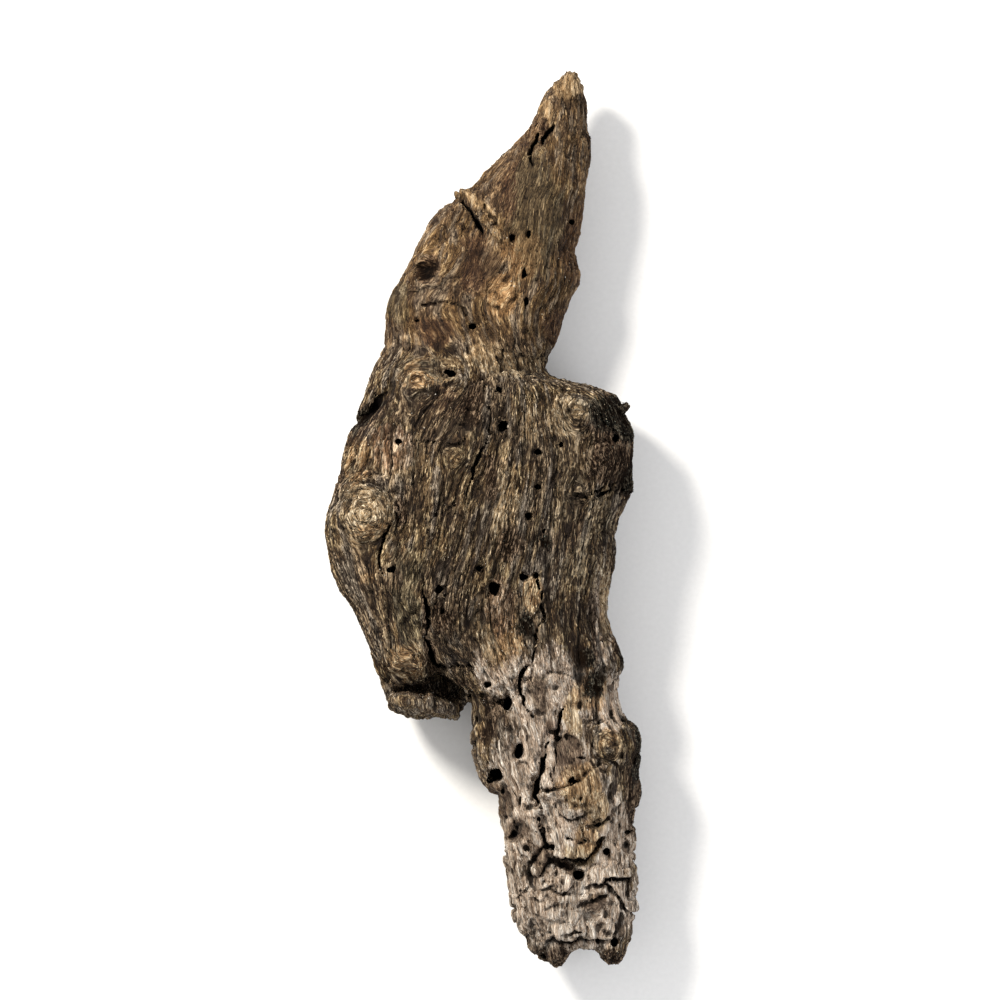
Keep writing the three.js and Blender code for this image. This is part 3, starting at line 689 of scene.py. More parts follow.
def plain_grain(x, y):
    """Place across the grain and along it, before the knots bend it. Fibres of the blade are shorter."""
    lines = []
    for across, line in GRAIN_GUIDES:
        stations, places = zip(*reversed(line))
        even = np.arange(-120, 121, 2.0)
        rough = np.interp(even, stations, places)
        taps = np.exp(-0.5 * (np.arange(-5, 6) / 2.2) ** 2)
        soft = np.convolve(np.pad(rough, 5, "edge"), taps / taps.sum(), "valid")
        lines.append((across, np.interp(y, even, soft)))
    (a0, x0), (a1, x1), (a2, x2) = lines
    left = a1 + (x - x1) * (a1 - a0) / (x1 - x0)
    right = a1 + (x - x1) * (a2 - a1) / (x2 - x1)
    turn_over = ease(x - x1, -3, 3)
    return left * (1 - turn_over) + right * turn_over, y + 1.3 * np.clip(y - 40, 0, None)


def grain_at(x, y):
    """Place across the grain and along it, with the grain bent round each knot and ringed inside it."""
    across, along = plain_grain(x, y)
    curly = ease(y, *CURL_START)
    across = across + 1.8 * curly * noise(x / 5.5, y / 6.5, seed=93)
    along = along + 3.0 * curly * noise(x / 4.5, y / 5.5, seed=94)
    tangle_x, tangle_y = noise(x / 1.5, y / 1.5, seed=91), noise(x / 1.5, y / 1.5, seed=92)
    for cx, cy, radius, rings in KNOTS.values():
        dx, dy = x - cx, y - cy
        away = np.hypot(dx, dy * 0.8) + 1e-6
        bend = np.minimum(1, (radius / away) ** 2) * np.exp(-np.clip(away / radius - 3, 0, None))
        inside = np.clip(1 - away / radius, 0, 1)
        crumbly = np.sqrt(inside) * (1 - rings)
        across = across - dx * bend + 1.6 * radius * inside * rings + 1.7 * crumbly * tangle_x
        along = along + dy * bend + inside * dy * (radius / away - 1) * rings + 2.4 * crumbly * tangle_y
    return across, along


def grain_way(x, y):
    """The grain's way at a place seen from above, as a unit vector towards the pointed end."""
    step = 0.2
    slope_x = (grain_at(x + step, y)[0] - grain_at(x - step, y)[0]) / (2 * step)
    slope_y = (grain_at(x, y + step)[0] - grain_at(x, y - step)[0]) / (2 * step)
    length = np.hypot(slope_x, slope_y) + 1e-6
    return -slope_y / length, slope_x / length


# Zones that shape the grain and colour nothing
RELIEF_ONLY = ("checked", "smooth")

# Stains and states of the surface, some partly painted shade, each a list of ovals: x, y, half width, half
# length, turn in degrees.
ZONES = {
    "pale": [
        (-28.6, 2, 7, 5.6, 0), (-31, -2, 4, 5, 20), (22.6, 27, 5.6, 5, 0), (20, 23, 3, 3, 0),
        (21.8, 108, 3, 4, 0), (-17.4, 37.6, 4, 2.4, 0), (3.6, 56.4, 4, 3.4, 0), (16.5, 102, 2, 3, 0),
        (0, 76, 1.4, 8, 38), (-22.6, -36, 1.6, 4, 0), (5.6, 5, 1.7, 7.5, 0), (2.6, -0.6, 1.5, 4, 0),
        (8.4, 2, 1.2, 7, 0), (11, 22.5, 1.7, 5, 0), (-12, 33.5, 7, 1.6, 30), (24.6, -67.4, 4.4, 5.6, 0),
        (27.6, -73, 3, 5, 0), (22, -48.5, 2.6, 5, 0), (24, -83, 4, 3, 0), (6, 38.6, 9, 2.4, 6),
        (-19.2, -35.6, 4.8, 4.2, 0), (4, -27, 6, 9, 0), (29.6, -20, 1.7, 11, 0), (-20, 15, 5, 5, 0),
        (2, 41, 7, 3, 0),
    ],
    "ochre": [
        (-16.2, 34.6, 5, 3.6, 0), (-28, -1.6, 4.4, 2, 0), (-18.6, -7.8, 1.6, 2.6, 0),
        (-27.2, -14.8, 1.8, 1.4, 0), (-19.6, -35.6, 5, 4, 0), (3.8, 56, 5, 5, 0), (-24.6, 16, 4, 5, 0),
        (24, -66.5, 5, 6.5, 0), (25.4, -79.6, 3, 4, 30), (12.4, -19.6, 3, 5, 0), (31, -56, 2.6, 2.6, 0),
        (9.6, 66, 5, 6, 0), (6, -29.5, 4, 6, 0), (26, -44, 4, 5, 0), (-31, 14, 3, 7, 0),
    ],
    # Dark stains, partly painted shade: the ovals along the right edge, the foot's lower edge, over the
    # stub's hollow and in dents, splits and holes darken where shade falls.
    "char": [
        (-28.4, 24.6, 2.6, 8, -38), (32.8, 27.6, 3.4, 4.6, 0), (34.4, 24, 3.2, 5, 0),
        (10.8, -27.2, 2.8, 3.2, 0), (15.8, -5.4, 2, 2.4, 0), (24.6, -34.8, 3.6, 3.2, 0), (35, 8, 3, 3, 0),
        (-14, 61.8, 3.4, 2.8, 20), (1.2, 9, 2.4, 6, 0), (7.4, -6, 4, 4, 0), (-8.6, 36.6, 3, 1.8, 0),
        (-9.4, -25.8, 2.4, 4, 0), (30, 15.8, 7.4, 7.6, 0), (26.4, -24, 1.1, 9, 0),
        (32.7, -24, 1.2, 12, 0), (39.2, -55, 2.6, 22, 0), (37.4, -33, 3, 20, 0),
        (-12.6, -42.2, 10, 1.6, 0), (20, -109.8, 9, 2.6, 0), (32, -109.6, 4, 2.6, 0),
        (-3.6, 28.5, 2.6, 6, -20), (-12.6, -34.4, 2.4, 3.8, 12), (-14.8, -24, 1.1, 6, 0),
        (1.4, -49, 2.2, 6, 0), (9.6, -41.6, 1.4, 3, 0), (34.6, 10, 4, 3, 0), (38.2, -70, 2.0, 12, 0),
        (-20.4, 1.8, 2, 4, 0), (-36, 12, 2.4, 6, 0), (14.8, 96, 1.6, 3, 0), (27, 94, 1.8, 14, 5),
    ],
    # Near-black moss; the two ovals on the right edge, at y -40 and -58, also paint shade there.
    "moss": [
        (31.8, 27.2, 4.4, 4.8, 0), (34.8, 22.6, 2.6, 4, 0), (35.4, 9, 2.4, 3.4, 0),
        (10.6, -27.2, 2.2, 2.8, 0), (24.2, -35, 3, 2.6, 0), (27, -42, 1.8, 4, 10),
        (15.8, -5.4, 1.6, 2, 0), (35.8, -40, 2.4, 12, 0), (38.4, -58, 1.0, 9, 0),
        (-28.6, 25, 1.6, 6, -38),
    ],
    "red": [
        (4.6, -22, 3.4, 8, 0), (-22.6, 17, 5, 6, 0), (17, -52, 2, 3, 0), (26.6, 19, 4, 5, 0),
    ],
    "stain": [
        (3.2, -70.5, 3.6, 5, 0), (8.8, -77.4, 3.6, 2.6, 0), (20.6, -58, 2.6, 6, 0), (28.6, 16, 8, 7, 0),
        (-9.6, 29, 3, 4, 0), (19.6, -86.6, 3.4, 1.6, -30), (13.9, -85.4, 2.2, 4, -30),
        (27.6, -96.4, 3, 2, 0), (13.6, -44, 1.6, 5, 0), (-2.6, 63, 3, 8, 0), (24, 68, 4, 10, 0),
        (14.6, 76, 4, 3, 0), (-12, 47, 5, 4, 0), (9.6, 81, 6, 9, 0), (12, 96, 4, 5, 0), (20, 48, 5, 5, 0),
        (30.6, 14, 5, 6, 0),
    ],
    "lace": [
        (24, 19.6, 3.6, 5, 0), (21.6, 13, 4, 7, 0), (20, 2, 3, 5, 0), (28, 0, 4, 5, 0),
        (-10, 38, 5, 3, 0), (24, -12, 4, 7, 0),
    ],
    "green": [
        (-19.4, -24, 3.4, 9, 0), (-17.6, -11, 3, 5, 0), (13, 76, 6, 16, 0), (-21, 54, 3, 6, 0),
    ],
    "silver": [
        (17, -45, 12, 10, 0), (29, -24, 3, 12, 0), (31, -46, 4, 8, 0), (14, -62, 12, 12, 0),
        (22, -80, 18, 14, 0), (22, -96, 18, 12, 0), (18, -72, 14, 14, 0), (4, -36, 6, 8, 0),
        (16, -41, 8, 8, 0),
    ],
    "checked": [
        (-11, 6, 10, 16, 0), (-16, 10, 6, 12, 0), (28, -2, 8, 12, 0), (-4, -22, 12, 10, 0),
        (30, -25, 6, 14, 0),
    ],
    "smooth": [
        (2, 6, 4, 10, 0), (15, 22, 3.4, 8, 0), (16, -42, 5, 6, 0), (10, 84, 14, 26, 0),
        (-10, 58, 14, 12, 0),
    ],
}


def zone_strength(x, y, ovals):
    """How strongly a zone shows at each place: 1 in its ovals' middles, 0.5 on their rims, 0 well outside."""
    ragged_x = x + 0.9 * noise(x / 2.2, y / 3, seed=51) + 1.4 * noise(x / 6, y / 8, seed=52)
    ragged_y = y + 0.9 * noise(x / 2.2, y / 3, seed=53) + 1.4 * noise(x / 6, y / 8, seed=54)
    strength = np.zeros(x.shape)
    for shape in ovals:
        strength = np.maximum(strength, 1 - ease(oval(ragged_x, ragged_y, shape), 0.45, 1.55))
    return strength


def clearance(x, y):
    """Distance in mm to the nearest hole, split or ledge, seen from above."""
    gap = np.full(x.shape, 9.0)
    for cx, cy, half_width, half_length, turn, _ in HOLES:
        rim = oval(x, y, (cx, cy, half_width, half_length, turn)) - 1
        gap = np.minimum(gap, rim * min(half_width, half_length))
    for _, line in SPLITS.values():
        away, _, half_width = near_line(x, y, line)
        gap = np.minimum(gap, away - half_width)
    for *_, line in LEDGES.values():
        gap = np.minimum(gap, near_line(x, y, line)[0] - 0.3)
    return gap


def grain_relief(points):
    """How far weather has lowered each point between the grain's ridges, in mm, and how much it is a gap."""
    x, y, z = points.T
    across, along = grain_at(x, y)
    zones = {name: zone_strength(x, y, ZONES[name]) for name in ("checked", "smooth", "silver")}
    front = ease(z, *FRONT_OF_GRAIN)
    drift = across + 0.5 * noise(across / 3, along / 9, seed=61)
    broad = noise(drift / 3.4, along / 34, z / 3.4, seed=62)
    streak = noise(drift / 1.5, along / 13, z / 1.5, seed=63)
    fine = noise(drift / 0.8, along / 6, z / 0.8, seed=64)
    gap = np.clip(1 - np.abs(noise(drift / 2.3, along / 16, z / 2.3, seed=65)) / 0.18, 0, 1)
    gap *= ease(noise(drift / 2, along / 9, z / 2, seed=66), -0.35, 0.2)
    thin = np.clip(1 - np.abs(noise(drift / 1.1, along / 9, z / 1.1, seed=67)) / 0.26, 0, 1)
    thin *= ease(noise(drift / 1.4, along / 7, z / 1.4, seed=68), -0.35, 0.25)
    seam, _ = plates(drift / 1.9, along / 4.2, 81)
    check = zones["checked"] * front * seam ** 2 * ease(noise(across / 4, along / 6, seed=69), -0.5, 0.1)
    calm = 1 - 0.45 * zones["smooth"] * front - 0.25 * zones["silver"] * front
    lowered = calm * (0.36 * broad + 0.36 * streak + 0.2 * fine - 0.95 * gap - 0.55 * thin) - 0.65 * check
    dark = np.clip(np.maximum(np.maximum(gap, 0.8 * thin), 0.8 * check) * (0.5 + 0.5 * calm), 0, 1)
    return lowered, dark


# Meshes

def new_piece(name, points, faces):
    """A mesh object in metres at the origin, from points in mm."""
    mesh = bpy.data.meshes.new(name)
    mesh.vertices.add(len(points))
    mesh.vertices.foreach_set("co", (np.asarray(points) * MM).astype(np.float32).ravel())
    corners = faces.shape[1]
    mesh.loops.add(faces.size)
    mesh.loops.foreach_set("vertex_index", faces.astype(np.int32).ravel())
    mesh.polygons.add(len(faces))
    mesh.polygons.foreach_set("loop_start", np.arange(0, faces.size, corners, dtype=np.int32))
    mesh.update(calc_edges=True)
    mesh.validate()
    piece = bpy.data.objects.new(name, mesh)
    bpy.context.scene.collection.objects.link(piece)
    return piece


def evaluated_mesh(piece):
    """The piece's mesh with its modifiers applied, which then come off."""
    bpy.context.view_layer.update()
    graph = bpy.context.evaluated_depsgraph_get()
    mesh = bpy.data.meshes.new_from_object(piece.evaluated_get(graph))
    piece.modifiers.clear()
    old = piece.data
    piece.data = mesh
    bpy.data.meshes.remove(old)
    mesh.name = piece.name


def read(mesh, kind):
    """Every vertex's place ("co", in metres) or normal ("normal")."""
    values = np.empty(len(mesh.vertices) * 3, np.float32)
    if kind == "normal":
        mesh.vertex_normals.foreach_get("vector", values)
    else:
        mesh.vertices.foreach_get("co", values)
    return values.reshape(-1, 3).astype(float)


def store(mesh, name, values):
    """Keeps a number or a vector for each vertex."""
    vector = values.ndim == 2
    attribute = mesh.attributes.new(name, "FLOAT_VECTOR" if vector else "FLOAT", "POINT")
    attribute.data.foreach_set("vector" if vector else "value", values.astype(np.float32).ravel())


def thinned(piece, most):
    """Collapses edges until the piece has at most that many triangles. The back gives up more."""
    points = read(piece.data, "co") / MM
    group = piece.vertex_groups.new(name="back")
    back = 1 - ease(points[:, 2], *BACK_TO_FRONT)
    for weight in (0.25, 1.0):
        chosen = np.nonzero(np.round(back) == (weight == 1.0))[0]
        group.add(chosen.tolist(), weight, "REPLACE")
    triangulate = piece.modifiers.new("triangles", "TRIANGULATE")
    triangulate.quad_method = "SHORTEST_DIAGONAL"
    decimate = piece.modifiers.new("fewer", "DECIMATE")
    decimate.ratio = min(1.0, most / (2 * len(piece.data.polygons)))
    decimate.vertex_group = group.name
    decimate.vertex_group_factor = 0.00002
    evaluated_mesh(piece)
    piece.vertex_groups.clear()


def make_wood(block, start):
    """The driftwood's mesh, with the ridges of its grain raised."""
    points, quads = surface_of(block, start)
    piece = new_piece("driftwood_weathered", points, quads)
    lowered, _ = grain_relief(points)
    resting = ease(points[:, 2], 0.3, 2.5)
    moved = points + read(piece.data, "normal") * (lowered * resting)[:, None]
    moved[:, 2] = np.maximum(moved[:, 2], 0)
    piece.data.vertices.foreach_set("co", (moved * MM).astype(np.float32).ravel())
    piece.data.update()
    thinned(piece, MOST_TRIANGLES)
    piece.data.shade_smooth()
    return piece


def store_states(piece, smooth, opened, start):
    """Keeps the grain, its way, the depth below the worn surface, hollows, and stains, some partly painted
    shade, for each vertex.
    """
    mesh = piece.data
    points = read(mesh, "co") / MM
    x, y, z = points.T
    across, along = grain_at(x, y)
    store(mesh, "grain", np.column_stack([across, along, z]))
    way = np.column_stack([*grain_way(x, y), np.zeros(len(x))])
    normals = read(mesh, "normal")
    way -= normals * np.sum(way * normals, axis=1)[:, None]
    store(mesh, "way", way / (np.linalg.norm(way, axis=1)[:, None] + 1e-6))
    # Depth below the worn surface; the material paints shade by it deep in holes and splits.
    buried = np.clip(-sample(smooth, start, points), 0, None)
    store(mesh, "buried", buried)
    # How hollow the surface is round each point; the material paints shade in hollows and highlight on raised
    # places.
    store(mesh, "hollow", np.clip(-sample(opened, start, points), -1, 1.5))
    # How much each point lies in a lowered gap between grain ridges; the material paints shade there.
    store(mesh, "gap", grain_relief(points)[1])
    front = ease(z, *FRONT_OF_STAINS)
    zones = {name: zone_strength(x, y, ovals) * front for name, ovals in ZONES.items()}
    for name, strength in zones.items():
        if name not in RELIEF_ONLY:
            store(mesh, name, strength)
    blade = ease(y, *BLADE_START)
    store(mesh, "blade", blade)
    knots = np.zeros(len(x))
    for cx, cy, radius, _ in KNOTS.values():
        knots = np.maximum(knots, 1 - ease(np.hypot(x - cx, y - cy) / radius, 0.7, 1.1))
    whole = (1 - ease(buried, 0.3, 0.8)) * (1 - 0.7 * knots * front) * (1 - 0.7 * zones["lace"])
    clear = whole * (ease(clearance(x, y), 0.2, 0.9) * front + 1 - front)
    clear = clear * (1 - 0.8 * zones["moss"])
    trunk = ease(y, *TRUNK_START) * (1 - blade) * front
    store(mesh, "splintered", clear * trunk * (1 - 0.3 * zones["pale"]))
    store(mesh, "hairy", whole * trunk * (ease(clearance(x, y), 0.0, 0.3) * front + 1 - front))
    store(mesh, "fibrous", clear * (1 - trunk) * (0.35 + 0.65 * front) * (1 - 0.7 * zones["silver"]))
    store(mesh, "mossy", whole * np.maximum(zones["moss"], 0.2 * zones["char"]))
    store(mesh, "gritty", whole * front * np.clip(noise(x / 5, y / 5, seed=95), 0, 1))


# Small things that repeat over the wood

def plain_mesh(name, points, faces, lifts):
    """A small pattern mesh of unit size, with how far each point stands off the wood's surface."""
    pattern = new_piece(name, np.array(points) / MM, np.array(faces))
    store(pattern.data, "lift", np.array(lifts, float))
    return pattern


def splinter_pattern():
    """A slender closed splinter along Y with a sunken underside, in 18 faces."""
    points, lifts = [(0, -0.5, 0)], [-0.9]
    for y, girth in ((-0.26, 0.8), (0.02, 1.0), (0.27, 0.7)):
        points += [(-0.5 * girth, y, 0), (0.08 * girth, y, 0.5), (0.5 * girth, y, 0)]
        lifts += [-0.5, girth, -0.5]
    points.append((0, 0.5, 0))
    lifts.append(-0.9)
    faces = []
    last = len(points) - 1
    for k in range(3):
        after = (k + 1) % 3
        faces += [(0, 1 + after, 1 + k), (last, last - 3 + k, last - 3 + after)]
        for ring in (1, 4):
            faces += [(ring + k, ring + after, ring + 3 + after), (ring + k, ring + 3 + after, ring + 3 + k)]
    return plain_mesh("splinter_pattern", points, faces, lifts)


def crumb_pattern():
    """A lumpy closed crumb of 20 faces."""
    work = bmesh.new()
    bmesh.ops.create_icosphere(work, subdivisions=1, radius=0.5)
    points = np.array([v.co for v in work.verts])
    faces = [[v.index for v in f.verts] for f in work.faces]
    work.free()
    points *= (0.8 + 0.4 * hashed([np.arange(len(points))], 96))[:, None]
    return plain_mesh("crumb_pattern", points, faces, points[:, 2] * 1.6 + 0.2)


SIZES = [
    ("Count in a square metre", "NodeSocketFloat"), ("Least size", "NodeSocketVector"),
    ("Most size", "NodeSocketVector"), ("Seed", "NodeSocketInt"),
]


def scatter_tree(name, host, pattern, thickness, material):
    """Nodes that set a pattern along the host's grain, press it onto the surface and give it a material."""
    tree = bpy.data.node_groups.new(name, "GeometryNodeTree")
    tree.interface.new_socket("Geometry", in_out="INPUT", socket_type="NodeSocketGeometry")
    tree.interface.new_socket("Geometry", in_out="OUTPUT", socket_type="NodeSocketGeometry")
    for label, kind in SIZES:
        tree.interface.new_socket(label, in_out="INPUT", socket_type=kind)
    given = add(tree, "NodeGroupInput").outputs

    def named(label, kind):
        made = add(tree, "GeometryNodeInputNamedAttribute", {"Name": label}, data_type=kind)
        return made.outputs["Attribute"]

    def keep(geometry, label, value):
        inputs = {"Geometry": geometry, "Name": label, "Value": value}
        made = add(tree, "GeometryNodeStoreNamedAttribute", inputs, data_type="FLOAT", domain="POINT")
        return made.outputs[0]

    def nearest(value):
        return add(tree, "GeometryNodeSampleNearestSurface", {"Mesh": ground, "Value": value},
                   data_type="FLOAT_VECTOR").outputs["Value"]

    ground = add(tree, "GeometryNodeObjectInfo", {"Object": host}).outputs["Geometry"]
    shape = add(tree, "GeometryNodeObjectInfo", {"Object": pattern}).outputs["Geometry"]
    density = add(tree, "ShaderNodeMath", {0: named(thickness, "FLOAT"), 1: given["Count in a square metre"]},
                  operation="MULTIPLY")
    seats = add(tree, "GeometryNodeDistributePointsOnFaces",
                {"Mesh": ground, "Density": density, "Seed": given["Seed"]})
    size = add(tree, "FunctionNodeRandomValue",
               {0: given["Least size"], 1: given["Most size"], "Seed": given["Seed"]},
               data_type="FLOAT_VECTOR").outputs[0]
    tall = add(tree, "ShaderNodeSeparateXYZ", {"Vector": size}).outputs["Z"]
    tone = add(tree, "FunctionNodeRandomValue", {2: -0.7, 3: 1.0, "Seed": 5}, data_type="FLOAT").outputs[1]
    points = keep(keep(seats.outputs["Points"], "tall", tall), "own_tone", tone)
    turn = add(tree, "FunctionNodeAxesToRotation",
               {"Primary Axis": seats.outputs["Normal"], "Secondary Axis": named("way", "FLOAT_VECTOR")},
               primary_axis="Z", secondary_axis="Y")
    placed = add(tree, "GeometryNodeInstanceOnPoints",
                 {"Points": points, "Instance": shape, "Rotation": turn, "Scale": size})
    real = add(tree, "GeometryNodeRealizeInstances", {"Geometry": placed})
    lift = add(tree, "ShaderNodeMath", {0: named("lift", "FLOAT"), 1: named("tall", "FLOAT")},
               operation="MULTIPLY")
    outward = add(tree, "ShaderNodeVectorMath", {0: nearest(add(tree, "GeometryNodeInputNormal"))},
                  operation="NORMALIZE")
    raised = add(tree, "ShaderNodeVectorMath", {0: outward, "Scale": lift}, operation="SCALE")
    place = add(tree, "ShaderNodeVectorMath", {0: nearest(add(tree, "GeometryNodeInputPosition")), 1: raised},
                operation="ADD")
    pressed = add(tree, "GeometryNodeSetPosition", {"Geometry": real, "Position": place})
    finished = add(tree, "GeometryNodeSetMaterial", {"Geometry": pressed, "Material": material})
    add(tree, "NodeGroupOutput", {"Geometry": finished})
    return tree


def scattered(name, tree, **sizes):
    """A plain mesh made by the nodes with the given sizes."""
    piece = bpy.data.objects.new(name, bpy.data.meshes.new(name))
    bpy.context.scene.collection.objects.link(piece)
    modifier = piece.modifiers.new(name, "NODES")
    modifier.node_group = tree
    for item in tree.interface.items_tree:
        label = item.name.replace(" ", "_").lower()
        if item.in_out == "INPUT" and label in sizes:
            modifier[item.identifier] = sizes[label]
    evaluated_mesh(piece)
    piece.data.shade_smooth()
    return piece


# Weathered wood, worn by water and bleached by sun. Soft spring wood is gone from between the harder grain
# lines, so the eye sees pale, fibrous ridges with dark gaps, no gloss, and stains round knots and holes.
# Painted shade darkens the grain's gaps, crevices, holes and parts of the dark patches, and painted highlight
# lightens raised places.
def weathered_wood():
    material, tree, shader = new_material("weathered_driftwood", 0.9, 0.2)

    def state(name):
        return add(tree, "ShaderNodeAttribute", attribute_name=name).outputs["Fac"]

    def maths(operation, a, b=0.0, clamp=False):
        return add(tree, "ShaderNodeMath", {0: a, 1: b}, operation=operation, use_clamp=clamp).outputs[0]

    def vectors(operation, a, b):
        return add(tree, "ShaderNodeVectorMath", {0: a, 1: b}, operation=operation).outputs[0]

    def mixed(share, a, b, blend="MIX"):
        inputs = {0: share, 6: a, 7: b}
        return add(tree, "ShaderNodeMix", inputs, data_type="RGBA", blend_type=blend).outputs[2]

    def spread(value, low, high):
        return add(tree, "ShaderNodeMapRange", {"Value": value, "From Min": low, "From Max": high},
                   interpolation_type="SMOOTHSTEP").outputs[0]

    def summed(start, *parts):
        """A starting value plus shares of other values about their own middles: (value, middle, share)."""
        total = start
        for value, middle, share in parts:
            total = maths("ADD", total, maths("MULTIPLY", maths("SUBTRACT", value, middle), share))
        return total

    place = add(tree, "ShaderNodeTexCoord").outputs["Object"]
    wander = add(tree, "ShaderNodeTexNoise", {"Vector": place, "Scale": 1 / (3.5 * MM), "Detail": 2.0})
    wander = vectors("SUBTRACT", wander.outputs["Color"], (0.5, 0.5, 0.5))
    grain = add(tree, "ShaderNodeAttribute", attribute_name="grain").outputs["Vector"]
    grain = vectors("ADD", grain, vectors("MULTIPLY", wander, (1.8, 5.0, 1.0)))

    def grain_noise(width, length, detail=2.0):
        """Noise in streaks of a width and length in mm."""
        stretched = vectors("MULTIPLY", grain, (1 / width, 1 / length, 1 / width))
        made = add(tree, "ShaderNodeTexNoise", {"Vector": stretched, "Scale": 1.0, "Detail": detail})
        return made.outputs["Fac"]

    def fibres(width, length):
        """Fibres of a size in mm: depth in the fibre, a number for each fibre, distance to its middle."""
        inputs = {"Vector": vectors("MULTIPLY", grain, (1 / width, 1 / length, 1 / width)), "Scale": 1.0}
        depth = add(tree, "ShaderNodeTexVoronoi", inputs, feature="DISTANCE_TO_EDGE").outputs["Distance"]
        own = add(tree, "ShaderNodeTexVoronoi", inputs, feature="F1").outputs
        number = add(tree, "ShaderNodeSeparateColor", {"Color": own["Color"]}).outputs["Red"]
        return depth, number, own["Distance"]

    def spot_noise(size, detail=2.0):
        """Noise in lumps of a size in mm."""
        made = add(tree, "ShaderNodeTexNoise", {"Vector": place, "Scale": 1 / (size * MM), "Detail": detail})
        return made.outputs["Fac"]

    broad = grain_noise(3.0, 30)
    streak = grain_noise(1.0, 11, 3)
    hair = grain_noise(0.3, 2.4, 1)
    thick_depth, thick_own, _ = fibres(0.8, 4.6)
    thin_depth, thin_own, _ = fibres(0.42, 2.3)
    lace_depth, _, _ = fibres(1.15, 2.1)
    _, pit_own, pit_away = fibres(1.6, 3.4)
    blotch = spot_noise(12, 3)
    mottle = spot_noise(3.2, 3)
    speck = spot_noise(0.8, 3)

    sharp = summed(1.0, (state("blade"), 0.0, -0.45), (state("silver"), 0.0, -0.3))
    own_tone = maths("MULTIPLY", state("own_tone"), sharp)
    dark_speck = maths("MAXIMUM", state("moss"), state("char"))
    dark_speck = maths("MULTIPLY", dark_speck, maths("SUBTRACT", speck, 0.45))
    # Painted highlight: raised, convex places are painted lighter.
    proud = spread(maths("MULTIPLY", state("hollow"), -1.0), 0.1, 0.5)
    tone = summed(0.545, (broad, 0.5, 0.7), (streak, 0.5, 1.1), (mottle, 0.5, 0.6), (own_tone, 0.0, 0.5),
                  (proud, 0.0, 0.16),
                  (maths("MULTIPLY", maths("SUBTRACT", thick_own, 0.5), sharp), 0.0, 0.42),
                  (maths("MULTIPLY", maths("SUBTRACT", thin_own, 0.5), sharp), 0.0, 0.62),
                  (maths("MULTIPLY", maths("SUBTRACT", hair, 0.5), sharp), 0.0, 1.7), (dark_speck, 0.0, 1.6))
    tone = maths("ADD", tone, 0.0, clamp=True)

    def toned(*stops):
        places = [i / (len(stops) - 1) for i in range(len(stops))]
        return add(tree, "ShaderNodeValToRGB", {"Fac": tone}, stops=list(zip(places, stops))).outputs[0]

    brown = toned("1c140d", "3b2e22", "5e4e3c", "88755e", "c6b396")
    warm = toned("20170e", "443422", "6a563b", "937d5c", "d8c59f")
    grey = toned("1b1613", "39312c", "5e544a", "887d6e", "c4b9a9")
    colour = mixed(spread(blotch, 0.42, 0.6), brown, warm)
    colour = mixed(spread(broad, 0.48, 0.62), colour, grey)

    tints = [
        ("silver", 0.94, ("5c4b3c", "aa9581", "d1bfad", "e3d6c7", "fbf5ec")),
        ("pale", 0.88, ("4a3b28", "846e4f", "b09876", "cdb794", "f0e2c6")),
        ("ochre", 0.84, ("3c2c1e", "74593c", "a2835c", "c6a680", "ecd9b4")),
        ("red", 0.6, ("2a1c14", "523b2d", "7a5d4a", "a08370", "d3bdaa")),
        ("stain", 0.8, ("180f09", "2e1f15", "4a3526", "6b533c", "a58e70")),
        ("green", 0.5, ("1e1d14", "3a382a", "585543", "75715a", "a39f87")),
        # Near-black brown for dark stains and for painted shade.
        ("char", 0.9, ("080403", "180f0a", "2d2018", "4f3f32", "a48f79")),
        # Near-black for moss, and for painted shade on the right edge.
        ("moss", 0.97, ("010101", "030303", "070807", "0e0f0d", "6c675b")),
    ]
    # The stains, some of them partly painted shade, lie over one another in this order.
    for name, most, stops in tints:
        ragged = summed(state(name), (streak, 0.5, 0.7), (speck, 0.5, 0.7), (thick_own, 0.5, 0.25))
        colour = mixed(maths("MULTIPLY", spread(ragged, 0.3, 0.72), most), colour, toned(*stops))

    laced = spread(summed(state("lace"), (streak, 0.5, 0.8), (speck, 0.5, 0.5)), 0.34, 0.6)
    cell = spread(lace_depth, 0.07, 0.28)
    lacework = mixed(cell, toned("3a2e20", "75634a", "a18c6c", "c2af8e", "e0d2b6"), linear("1d140d"))
    laced = maths("MULTIPLY", laced, maths("SUBTRACT", 1.0, maths("MULTIPLY", state("char"), 0.6)))
    colour = mixed(maths("MULTIPLY", laced, 0.72), colour, lacework)

    partly = spread(grain_noise(2.2, 9), 0.4, 0.56)
    thick_gap = maths("MULTIPLY", maths("SUBTRACT", 1.0, spread(thick_depth, 0.05, 0.24)), partly)
    thin_gap = maths("MULTIPLY", maths("SUBTRACT", 1.0, spread(thin_depth, 0.03, 0.24)), 0.66)
    lines = maths("MULTIPLY", maths("MAXIMUM", thick_gap, thin_gap), sharp)
    colour = mixed(maths("MULTIPLY", lines, 0.85), colour, linear("1a120b"))
    pit = maths("SUBTRACT", 1.0, spread(pit_away, 0.14, 0.3))
    pit = maths("MULTIPLY", pit, spread(pit_own, 0.45, 0.6))
    colour = mixed(maths("MULTIPLY", pit, 0.8), colour, linear("160e08"))
    # Painted shade: the lowered gaps between the grain's ridges are painted darker.
    colour = mixed(maths("MULTIPLY", state("gap"), 0.7, clamp=True), colour, linear("1a110a"))
    # Painted shade: crevices and concave places are painted darker.
    crevice = spread(state("hollow"), 0.12, 0.8)
    colour = mixed(maths("MULTIPLY", crevice, 0.75), colour, linear("1b120b"))
    # Painted shade: the colour turns near black deep in holes, splits and the stub's hollow, by the depth
    # below the worn surface.
    buried = spread(state("buried"), 0.9, 2.6)
    colour = mixed(maths("MULTIPLY", buried, 0.96), colour, linear("0a0604"))

    # A faint warm tinge, stronger on the blade.
    colour = mixed(1.0, colour, linear("fff8f0"), "MULTIPLY")
    colour = mixed(state("blade"), colour, linear("fff5e8"), "MULTIPLY")

